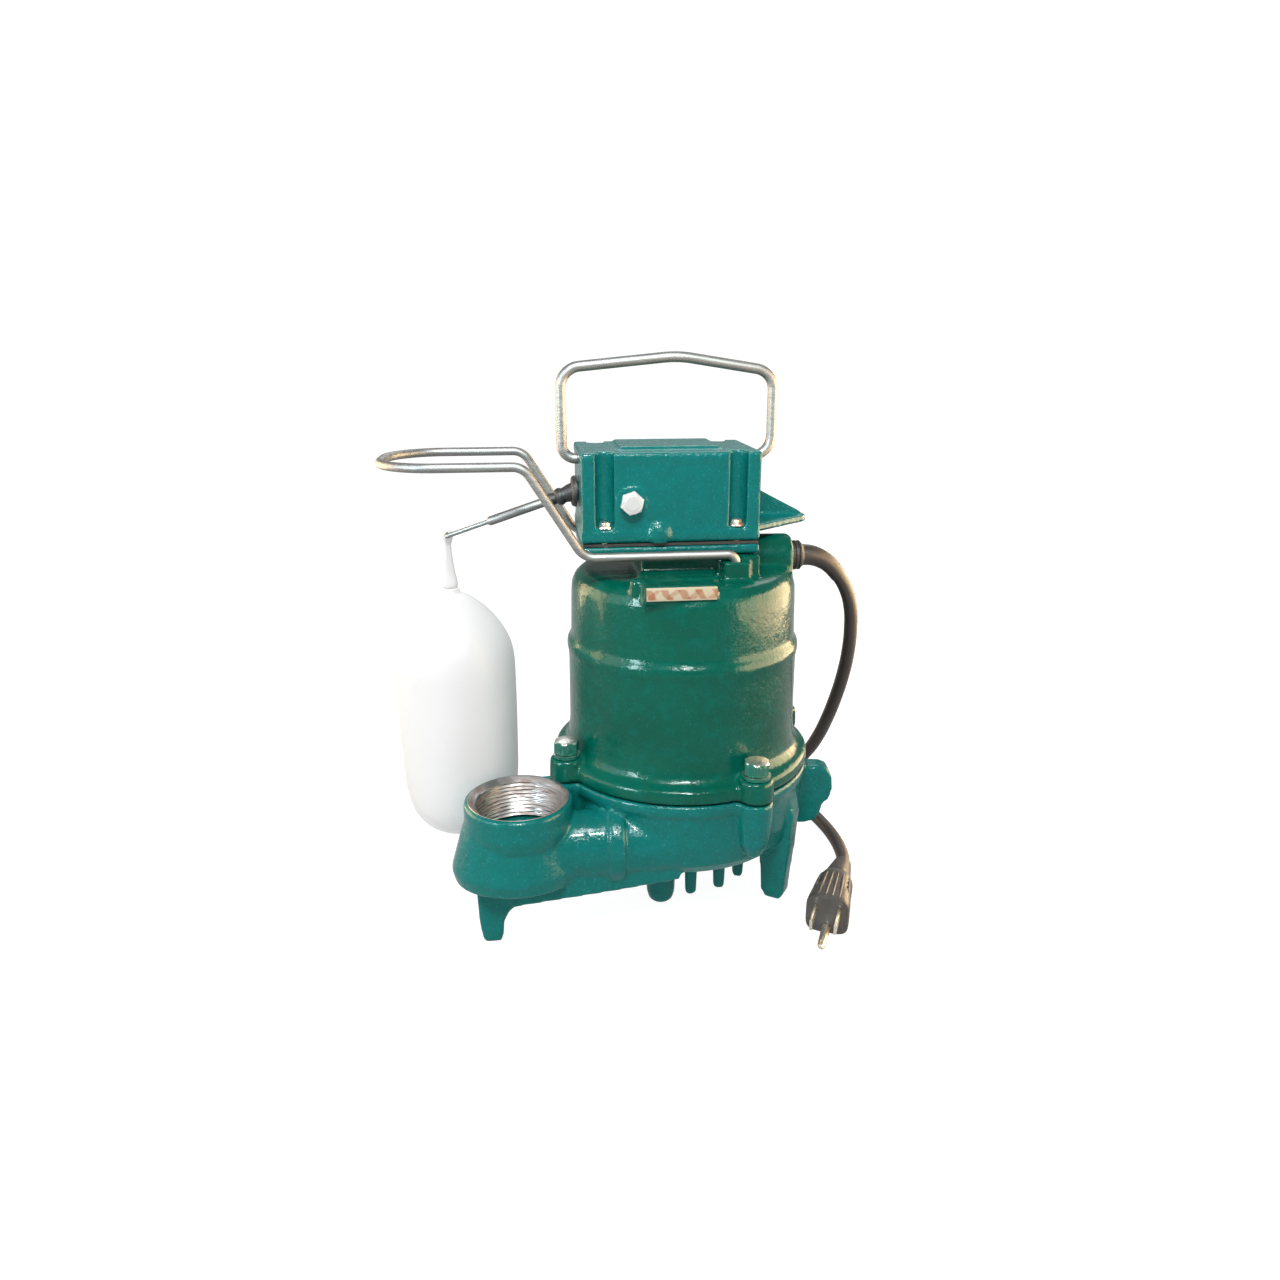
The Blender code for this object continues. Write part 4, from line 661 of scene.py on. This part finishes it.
# Motor housing. A second iron casting: a tall can with a raised rib near its top, a flange with
# four bolt bosses, and on its deck the neck, guard sockets, pads and the cord's boss.
can_enamel = enamel("housing_enamel", 0.62)
housing = Casting()
housing.turn([
    (0, 191), (52, 191), (56.6, 189.8), (60, 186.8), (61.8, 182.6), (62.2, 176), (62.7, 154), (63.4, 152.6),
    (64.8, 150.4), (65.1, 147), (64.4, 144.4), (64.1, 140), (64.3, 104), (64.9, 97), (65.6, 92.4), (67.5, 89),
    (71, 87.6), (72.6, 86.6), (73, 85), (73, 80.4), (72.2, 79.3), (0, 79.3),
], sides=128)
bolt_boss = [(0, 91.9), (8.4, 91.9), (9.2, 90.8), (9.4, 86), (9.6, 79.4), (0, 79.4)]
for x, y in bolt_spots:
    housing.turn(bolt_boss, (x, y, 0), sides=32)
housing.block((-27, -31, 186), (33.3, 31, 202.6))
housing.block((-27, -46, 183), (11, -20, 194.4))
housing.block((-29, -60, 184), (8, -30, 193.6))
for side in (-1, 1):
    near, far = sorted((side * 28, side * 41))
    housing.block((15, near, 182), (29, far, 200.4))
    near, far = sorted((side * 16, side * 35.3))
    housing.block((25.3, near, 186), (34.9, far, 202.6))
housing.turn([(0, 195), (3.4, 195), (4.2, 193.8), (4.4, 184), (0, 184)], (-31, -47, 0), sides=24)
cord_boss = [(0, 61.2), (11, 61.2), (12.4, 59.4), (12.6, 37.2), (0, 37.2)]
housing.turn(cord_boss, (0, cord_y, cord_z), (1, 0, 0), 48)
housing.bar((20, cord_y, cord_z), (45, cord_y, cord_z), 8.2)
housing.block((37.2, -9.4, 178), (60.6, 15.4, 192))
guard_foot, guard_half = 22, 36
motor_room, holes, joint_face = Casting(), Casting(), Casting()
motor_room.turn([(0, 186), (52.6, 186), (57.6, 181), (57.6, 76), (0, 76)])
motor_room.block((-14, -14, 180), (14, 14, 210))
holes.bar((10, cord_y, cord_z), (64, cord_y, cord_z), 5.2)
for x, y in bolt_spots:
    holes.bar((x, y, 70), (x, y, 96), 3.6, sides=16)
for side in (-1, 1):
    holes.bar((guard_foot, side * guard_half, 188.6), (guard_foot, side * guard_half, 204), 2.75, sides=24)
joint_face.block((-120, -120, 60), (120, 120, 79.3))
cast(
    "housing_casting", housing, 1.1, 6, can_enamel, "pump", ["motor_housing"],
    machined=[joint_face, motor_room, holes],
)


# Base bolts. Four zinc-plated hex bolts hold the housing to the base, each with its washer. Their upward
# faces are bare bright zinc. Their sides are dark green, partly enamel overspray and partly painted shade and
# painted reflection of the green casting round them.
bolt_zinc = Finish("bolt_zinc", Roughness=0.3)
# Facing up gives bare zinc; facing sideways gives dark green, partly overspray and partly painted shade.
bare_top_painted_shade_sides = (bolt_zinc.facing("Z") + 0.35 * bolt_zinc.noise(260.0, 3.0)).between(0.42, 0.75)
bolt_zinc.wear(
    Base_Color=bolt_zinc.mix(bare_top_painted_shade_sides, (0.0, 0.15, 0.105), (0.74, 0.73, 0.7)),
    Metallic=0.05 + 0.93 * bare_top_painted_shade_sides,
    Roughness=0.22 + 0.2 * bolt_zinc.noise(400.0),
    Normal=bolt_zinc.bump(bolt_zinc.noise(300.0, 3.0), 0.0005),
)


def hex_head(build, place, across_flats, low, high, crown=0.9):
    """A hex bolt's head: six flats, a chamfered round crown, and a flat top."""
    x, y = place
    sides, turned = 48, 0.3
    apothem = across_flats / 2
    corner = apothem / math.cos(math.radians(30))
    rows = []
    levels = ((low, 0.0), (low + 0.4, 0.0), (high - crown, 0.0), (high - crown * 0.35, 0.55), (high, 1.0))
    for z, blend in levels:
        row = []
        for side in range(sides):
            angle = math.tau * side / sides
            local = (angle % (math.tau / 6)) - math.tau / 12
            flat = apothem / math.cos(local)
            radius = min(flat, corner - (corner - apothem * 0.94) * blend * 1.3)
            if z == low:
                radius = min(radius, apothem * 0.97)
            across, along = radius * math.cos(angle + turned), radius * math.sin(angle + turned)
            row.append(build.verts.new((x + across, y + along, z)))
        rows.append(row)
    for first, second in zip(rows, rows[1:]):
        for side in range(sides):
            after = (side + 1) % sides
            build.faces.new((first[side], first[after], second[after], second[side]))
    build.faces.new(rows[0])
    build.faces.new(rows[-1])


for number, place in enumerate(bolt_spots, 1):
    build = bmesh.new()
    hex_head(build, place, 12.4, 94.3, 101.6)
    lathe([(0, 94.6), (3.15, 94.6), (3.15, 66.4), (2.4, 65.4), (0, 65.4)], (*place, 0), sides=24, build=build)
    name = f"base_bolt_{number}"
    solid(name + "_zinc", build, bolt_zinc.material, "pump", [name], smooth=30)
    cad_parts[f"base_washer_{number}"].data.materials[0] = bolt_zinc.material


# Switch case. A cast bell over the float switch, with a fluted channel for a screw near each
# corner, a raised pad on top, a lip round its foot, and a triangular shelf and fin at the right.
# Its last number paints a cool reflection into the case's colour.
case_enamel = enamel("case_enamel", 1.15, 0.8)
case = Casting()
case.block((-57.4, -30.8, 210), (35.1, 30.8, 255.6))
case.block((-57.9, -31.3, 210), (35.6, 31.3, 215.6))
case.block((-57.8, -31.2, 251.6), (35.5, 31.2, 255.9))
case.block((-36, -16, 250), (16, 24, 257.5))
case.turn([(0, 32.9), (4.6, 32.9), (6, 31.6), (6, 20), (0, 20)], (-17.6, 0, 214.2), (0, -1, 0), 32)
case.turn([(0, 33.6), (2.2, 33.6), (3, 32.8), (3, 20), (0, 20)], (-17.6, 0, 214.2), (0, -1, 0), 24)
plug_x, plug_z = -32, 231
case.turn([(0, 31.6), (7.6, 31.6), (8.2, 31), (8.2, 20), (0, 20)], (plug_x, 0, plug_z), (0, -1, 0), 32)
fin = [(30, 235), (35.2, 235), (53, 225.4), (70, 216.6), (73.6, 213.6), (73.6, 210.4), (30, 210.4)]
case.slab(fin, 4.6, Matrix.Translation((0, 20, 0)))
shelf = [(30, -14.5), (35.6, -14.5), (71.6, 14.6), (74.6, 18.6), (73.4, 21.8), (70.4, 22.8), (30, 22.8)]
case.slab(shelf, 4.0, Matrix.Translation((0, 0, 212.4)), lying=True)
flutes, mouths, switch_room, end_rooms, wall_holes, case_foot = (Casting() for _ in range(6))
screw_spots = [(x, side * 27.5) for x in (-45.6, 23.3) for side in (-1, 1)]
for x, y in screw_spots:
    flutes.turn([(0, 262), (4.9, 262), (4.9, 217.2), (0, 217.2)], (x, y, 0), sides=32)
    near, far = sorted((y, y * 1.4))
    mouths.block((x - 4.6, near, 217.2), (x + 4.6, far, 262))
switch_room.block((-37, -26.5, 200), (14.6, 26.5, 251.5))
end_rooms.block((-53.1, -18.6, 199), (-30, 18.6, 251))
end_rooms.block((10, -18.6, 199), (30.8, 18.6, 251))
arm_y, arm_z, handle_z = 2.4, 232.4, 250
screw_hole = 2.4
wall_holes.bar((-64, arm_y, arm_z), (-50, arm_y, arm_z), 6, sides=40)
wall_holes.bar((plug_x, -40, plug_z), (plug_x, -20, plug_z), 3.7, sides=24)
wall_holes.bar((-64, 0, handle_z), (-50, 0, handle_z), 3.2, sides=24)
wall_holes.bar((26, 0, handle_z), (42, 0, handle_z), 3.2, sides=24)
for x, y in screw_spots:
    wall_holes.bar((x, y, 200), (x, y, 222), screw_hole, sides=20)
case_foot.block((-90, -60, 190), (110, 60, 210.1))
cast(
    "case_casting", case, 0.9, 4, case_enamel, "pump", ["switch_case"],
    carved=[flutes, mouths], machined=[case_foot, switch_room, end_rooms, wall_holes],
)

# Its bottom plate is cast to the same outline, and a black gasket is nipped between the two.
foot_plate = Casting()
foot_plate.block((-57.4, -30.8, 203.1), (35.1, 30.8, 207.9))
foot_plate.block((-57.8, -31.2, 203.6), (35.5, 31.2, 207.2))
plate_hole = Casting()
plate_hole.block((-13, -13, 196), (13, 13, 214))
for x, y in screw_spots:
    plate_hole.bar((x, y, 196), (x, y, 214), screw_hole, sides=20)
cast(
    "foot_plate_casting", foot_plate, 0.9, 3, case_enamel, "pump", ["switch_plate"], machined=[plate_hole],
)
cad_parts["case_gasket"].data.materials[0] = gland_rubber.material


# Case screws. Small steel hex-washer screws at the foot of each flute, two of them rusting.
screw_steel = Finish("case_screw_steel", Roughness=0.35)
rusty = screw_steel.noise(210.0, 4.0).between(0.4, 0.62) * screw_steel.place("X").between(0.02, 0.05)
screw_steel.wear(
    Base_Color=screw_steel.mix(rusty, (0.62, 0.61, 0.58), (0.27, 0.11, 0.05)),
    Metallic=0.95 - 0.7 * rusty,
    Roughness=0.3 + 0.4 * rusty,
)
screw_profile = [(0, 218.5), (3.7, 218.5), (3.9, 218.1), (3.9, 217.6), (1.9, 217.5), (1.9, 205.6), (0, 205)]
for number, (x, y) in enumerate(screw_spots, 1):
    build = lathe(screw_profile, (x, y, 0), sides=32)
    hex_head(build, (x, y), 5.4, 218.2, 220.9, 0.5)
    name = f"case_screw_{number}"
    solid(name + "_steel", build, screw_steel.material, "pump", [name], smooth=30)


# Front plug. A white nylon hex plug closes a hole in the case's front wall.
nylon = Finish("front_plug_nylon", Roughness=0.35, Subsurface_Weight=0.15)
nylon.wear(
    Base_Color=nylon.mix(nylon.noise(180.0, 3.0), (0.9, 0.89, 0.87), (0.8, 0.79, 0.76)),
    Normal=nylon.bump(nylon.noise(420.0), 0.0002),
)
build = bmesh.new()
hex_head(build, (0, 0), 10.8, 0.0, 3.6, 0.9)
lathe([(0, 3.9), (3.4, 3.9), (3.9, 3.4), (3.9, 3.0), (0, 3.0)], sides=32, build=build)
lathe([(0, 0.3), (3.2, 0.3), (3.2, -7), (0, -7)], sides=24, build=build)
build.transform(Matrix.Translation((plug_x, -31.9, plug_z)) @ Matrix.Rotation(math.pi / 2, 4, "X"))
solid("front_plug", build, nylon.material, "pump", ["nylon_plug"], smooth=30)


# Plate on the deck's front edge. Thin cream-painted metal with a faded rust-brown zigzag, left
# without any words, and crimped at its rim.
plate_paint = Finish("deck_plate_paint", Roughness=0.45)
across, up = plate_paint.place("X"), plate_paint.place("Z")
wobble = plate_paint.noise(180.0, 3.0)
saw = ((across * 118.0 + up * 70.0 + 0.5 * wobble).math("PINGPONG", 0.5) * 2.0).between(0.42, 0.68)
back_saw = ((across * 96.0 - up * 88.0 + 0.6 * wobble).math("PINGPONG", 0.5) * 2.0).between(0.55, 0.8)
print_low, print_high, print_fade = 0.1872, 0.1928, 0.0006
print_band = (up - print_low).between(0.0, print_fade) * (print_high - up).between(0.0, print_fade)
ink = (saw * 0.75 + back_saw * 0.5).math("MINIMUM", 1.0) * print_band
plate_paint.wear(
    Base_Color=plate_paint.mix(ink, (0.62, 0.53, 0.36), (0.42, 0.16, 0.07)),
    Roughness=0.4 + 0.3 * wobble,
)
build = bmesh.new()
bmesh.ops.create_cube(build, size=1)
plate_size, plate_centre = (35.4, 0.9, 6.8), (-10.5, -60.95, 190.2)
bmesh.ops.scale(build, vec=plate_size, verts=build.verts)
bmesh.ops.translate(build, vec=plate_centre, verts=build.verts)
bmesh.ops.bevel(build, geom=build.edges[:], offset=0.35, segments=2, profile=0.5, affect="EDGES")
deck_plate = solid("deck_plate", build, plate_paint.material, "pump", ["name_plate"])


# Handle. One length of stainless wire, 5.6 mm thick, bent into a bail with a slight peak, whose
# turned-in ends spring into holes high in the case's side walls.
wire_steel = Finish("wire_stainless", Metallic=1.0, Roughness=0.3)
drawn = wire_steel.noise(520.0, 3.0, (0.12, 1, 1))
wire_steel.wear(
    Base_Color=wire_steel.mix(drawn, (0.17, 0.168, 0.166), (0.27, 0.267, 0.263)),
    Roughness=0.38 + 0.16 * drawn + 0.08 * wire_steel.noise(60.0),
    Normal=wire_steel.bump(drawn, 0.00012),
)


def wire(name, corners, radii, thick, material, body, replaces):
    """Round wire with straight runs, and an arc of its own radius at each corner."""
    arc_steps = 14
    corners = [Vector(corner) for corner in corners]
    line = [corners[0]]
    for before, corner, after, radius in zip(corners, corners[1:], corners[2:], radii):
        back, ahead = (before - corner).normalized(), (after - corner).normalized()
        half = back.angle(ahead) / 2
        middle = corner + (back + ahead).normalized() * (radius / math.sin(half))
        first = (corner + back * (radius / math.tan(half)) - middle).normalized()
        last = (corner + ahead * (radius / math.tan(half)) - middle).normalized()
        for step in range(arc_steps + 1):
            line.append(middle + radius * first.slerp(last, step / arc_steps))
    line.append(corners[-1])
    curve = bpy.data.curves.new(name, "CURVE")
    curve.dimensions = "3D"
    curve.bevel_depth = thick / 2000
    curve.bevel_resolution = 6
    curve.use_fill_caps = True
    spline = curve.splines.new("POLY")
    spline.points.add(len(line) - 1)
    for point, place in zip(spline.points, line):
        point.co = (*(on_axis @ place), 1)
    spline.use_smooth = True
    piece = bpy.data.objects.new(name, curve)
    bpy.context.collection.objects.link(piece)
    curve.materials.append(material)
    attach(piece, body)
    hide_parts(*replaces)
    return piece


wire(
    "handle_wire",
    [
        (-54.6, 0, handle_z), (-65.6, 0, handle_z), (-65.6, 0, 296), (-4, 0, 302), (47.2, 0, 294),
        (47.5, 0, handle_z), (32.3, 0, handle_z),
    ],
    [7.5, 11, 60, 11, 11], 5.6, wire_steel.material, "handle", ["handle"],
)


# Float guard. One length of thinner wire: up out of the deck's front socket, along the case's
# front, up and out around the float's arm, and back the same way to the rear socket.
guard_side = [(guard_foot, 190.6), (guard_foot, 204), (-57, 204), (-86, 250.4), (-158.6, 250.4)]
guard_line = [(x, -guard_half, z) for x, z in guard_side] + [(x, guard_half, z) for x, z in guard_side[::-1]]
wire(
    "guard_wire", guard_line, [5, 11, 10, 30, 30, 10, 11, 5], 4.8, wire_steel.material, "pump",
    ["float_guard"],
)


# Float arm. A stainless rod from the switch, stepped down to a thin tail whose end is bent
# through the float's eye. A moulded rubber boot closes the case's wall round it.
arm_pivot, arm_tip = Vector((-58.6, arm_y, arm_z)), Vector((-128, arm_y, 209.5))
arm_along = (arm_tip - arm_pivot).normalized()
rod_profile = [
    (0, 73.4), (0.9, 73.2), (1.25, 72.6), (1.25, 50.6), (1.7, 49.8), (2.35, 49.2), (2.5, 48.4), (2.5, 12),
    (2.4, -12.6), (2.0, -13), (0, -13),
]
build = lathe(rod_profile, arm_pivot, arm_along, 28)
eye_pin = [(0, 9.2), (1.7, 8.9), (2.0, 8.0), (1.7, 7.2), (1.25, 6.9), (1.25, -0.6), (0.9, -1.2), (0, -1.4)]
lathe(eye_pin, arm_tip, (0, 1, 0), 24, build)
arm_rod = solid("arm_rod", build, wire_steel.material, "arm", ["float_arm"], smooth=50)
boot_profile = [
    (2.6, 16.4), (3.3, 16.4), (3.6, 15.6), (3.6, 13.2), (3.1, 12.2), (3.2, 11.4), (4.2, 10.6), (4.7, 9.4),
    (4.7, 8.0), (4.1, 7.0), (4.1, 6.0), (4.7, 4.0), (5.0, 1.6), (5.0, -1.0), (4.4, -3.0), (3.5, -4.0),
    (2.6, -4.2),
]
build = lathe(boot_profile, arm_pivot, arm_along, 40)
solid("boot_rubber", build, gland_rubber.material, "arm", ["arm_boot"])
ring_profile = [(5.9, 3.4), (7.0, 3.4), (7.8, 2.9), (8.3, 2.0), (8.4, 0.4), (5.9, 0.4)]
solid(
    "boot_grommet", lathe(ring_profile, (-57.6, arm_y, arm_z), (-1, 0, 0), 40), gland_rubber.material, "pump",
    ["boot_ring"],
)


# Float. A hollow blow-moulded bottle of milky polyethylene, with the mould's parting line down
# its sides. Its pinched stem is moulded to a flat tab with an eye for the arm.
# The bottle and its stem glow faintly white of themselves. This is painted light that evens out their shading
# in place of light passing through the plastic.
bottle = Finish(
    "float_polyethylene_glowing", Specular_IOR_Level=0.2, Emission_Color=(1, 1, 1), Emission_Strength=0.17,
)
cloud = bottle.noise(14.0, 3.0)
bottle.wear(
    Base_Color=bottle.mix(cloud, (0.68, 0.68, 0.678), (0.74, 0.74, 0.738)),
    Roughness=0.42 + 0.15 * bottle.noise(35.0, 2.0),
    Normal=bottle.bump(bottle.noise(30.0, 2.0) + 0.15 * bottle.noise(300.0), 0.0012),
)
float_axis = Vector((arm_tip.x, 6.0, 0))
outer_knots = [
    (5.6, 177.4), (9.6, 175.4), (14.6, 171.8), (19.6, 167.2), (24.4, 161.6), (28.4, 155.4), (31.2, 148.4),
    (32.7, 140), (33, 130), (33, 110), (32.7, 90), (32.4, 74), (31.4, 62), (29.4, 53), (26, 46), (21, 40.4),
    (14.5, 36.8), (7.5, 35.4),
]
outer = []
for near, first, last, far in zip(
    [outer_knots[0], *outer_knots], outer_knots, outer_knots[1:], [*outer_knots[2:], outer_knots[-1]],
):
    for share in (0, 0.25, 0.5, 0.75):
        outer.append(tuple(
            0.5 * (
                2 * b + (c - a) * share + (2 * a - 5 * b + 4 * c - d) * share**2
                + (3 * b - a - 3 * c + d) * share**3
            )
            for a, b, c, d in zip(near, first, last, far)
        ))
outer += [(7.5, 35.4), (0, 35)]
bottle_wall, inner_low, inner_high = 1.6, 36.8, 174.5
inner = [(max(0.0, radius - bottle_wall), min(max(z, inner_low), inner_high)) for radius, z in outer]
neck = [(3.6, 180.2), (4.4, 180.2), (4.8, 179.7), (4.9, 178.6)]
float_profile = neck + outer + inner[::-1] + [(3.6, 175)]
build = lathe(float_profile, float_axis, sides=72)
flash_high, flash_sharp = 0.5, 28
for vert in build.verts:
    across, along = vert.co.x - float_axis.x, vert.co.y - float_axis.y
    around = math.atan2(along, across)
    flash = max(0.0, 1 - abs(math.sin(around)) * flash_sharp)
    if 38 < vert.co.z < 178 and math.hypot(across, along) > 20:
        vert.co.x += flash_high * flash * math.copysign(1, math.cos(around))
solid("float_bottle", build, bottle.material, "float", ["float"], smooth=70)
stem_stations = []
stem_turn = Matrix.Rotation(-math.pi / 2, 4, "Y") @ Matrix.Rotation(math.pi / 2, 4, "X")
for up, wide, deep, square in (
    (-36, 2.6, 1.5, 3), (-30.2, 2.7, 1.5, 3), (-29.6, 3.0, 2.4, 2.2), (-27.6, 4.2, 3.0, 2.2),
    (-25, 4.0, 2.6, 2.3), (-21, 3.1, 2.1, 2.6), (-16, 2.4, 1.6, 3), (-10, 1.8, 1.4, 3), (-5, 1.7, 1.3, 3),
    (-2.4, 2.6, 1.3, 3), (0, 2.95, 1.3, 3), (1.6, 2.6, 1.3, 3), (2.8, 1.6, 1.2, 2.4), (3.2, 0.8, 0.9, 2),
):
    placed = Matrix.Translation((float_axis.x, float_axis.y, arm_tip.z + up)) @ stem_turn
    stem_stations.append((placed, wide, deep, square))
stem = hidden("float_stem_moulded", loft(stem_stations, 36))
eye = Casting()
eye.bar((arm_tip.x, 0, arm_tip.z), (arm_tip.x, 12, arm_tip.z), 1.6, sides=24)
cut(stem, [eye])
dress(stem, bottle.material, 50, "float", ["float_stem"])


# Works inside. The motor, seal, impeller and float switch keep their machined shapes and get
# the finishes of what they are made of.
def works(name, first, second, nodes, scale=120.0, stretch=(1, 1, 1), rough=0.4, **sockets):
    """One two-tone finish with a grain, given to CAD nodes that keep their shapes."""
    made = Finish(name, **sockets)
    grain = made.noise(scale, 3.0, stretch)
    made.wear(
        Base_Color=made.mix(grain, first, second), Roughness=rough + 0.2 * grain,
        Normal=made.bump(grain, 0.0002),
    )
    for node in nodes:
        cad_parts[node].data.materials[0] = made.material


works(
    "laminations", (0.2, 0.2, 0.21), (0.42, 0.42, 0.43), ["stator_core", "rotor_core"], 900.0,
    (0.02, 0.02, 3), Metallic=1.0,
)
works(
    "copper", (0.45, 0.16, 0.06), (0.72, 0.3, 0.12), ["upper_winding", "lower_winding"], 500.0,
    (1, 1, 0.3), 0.25, Metallic=1.0,
)
works(
    "ground_steel", (0.5, 0.5, 0.5), (0.68, 0.67, 0.66), ["motor_shaft", "rocker_pin"], 600.0,
    (1, 1, 5), 0.15, Metallic=1.0,
)
works(
    "bronze", (0.5, 0.33, 0.13), (0.7, 0.5, 0.24),
    ["upper_bearing", "lower_bearing", "impeller_nut", "switch_rocker"], Metallic=1.0,
)
works(
    "bored_iron", (0.16, 0.155, 0.15), (0.32, 0.31, 0.3), ["bearing_plate"], 300.0, rough=0.45, Metallic=0.8,
)
works("seal_carbon", (0.02, 0.02, 0.02), (0.05, 0.05, 0.05), ["seal_rotor"])
works("seal_ceramic", (0.72, 0.7, 0.65), (0.84, 0.83, 0.79), ["seal_seat"], rough=0.2)
works("impeller_resin", (0.03, 0.03, 0.035), (0.08, 0.08, 0.09), ["impeller"], 200.0)
works("phenolic_board", (0.03, 0.02, 0.015), (0.08, 0.05, 0.04), ["switch_body", "thermal_overload"])
works("lead_jacket", (0.02, 0.02, 0.02), (0.06, 0.05, 0.05), ["motor_lead", "cord_lead"])
works("seal_rubber", (0.015, 0.015, 0.015), (0.04, 0.04, 0.04), ["base_seal_ring"], rough=0.6)
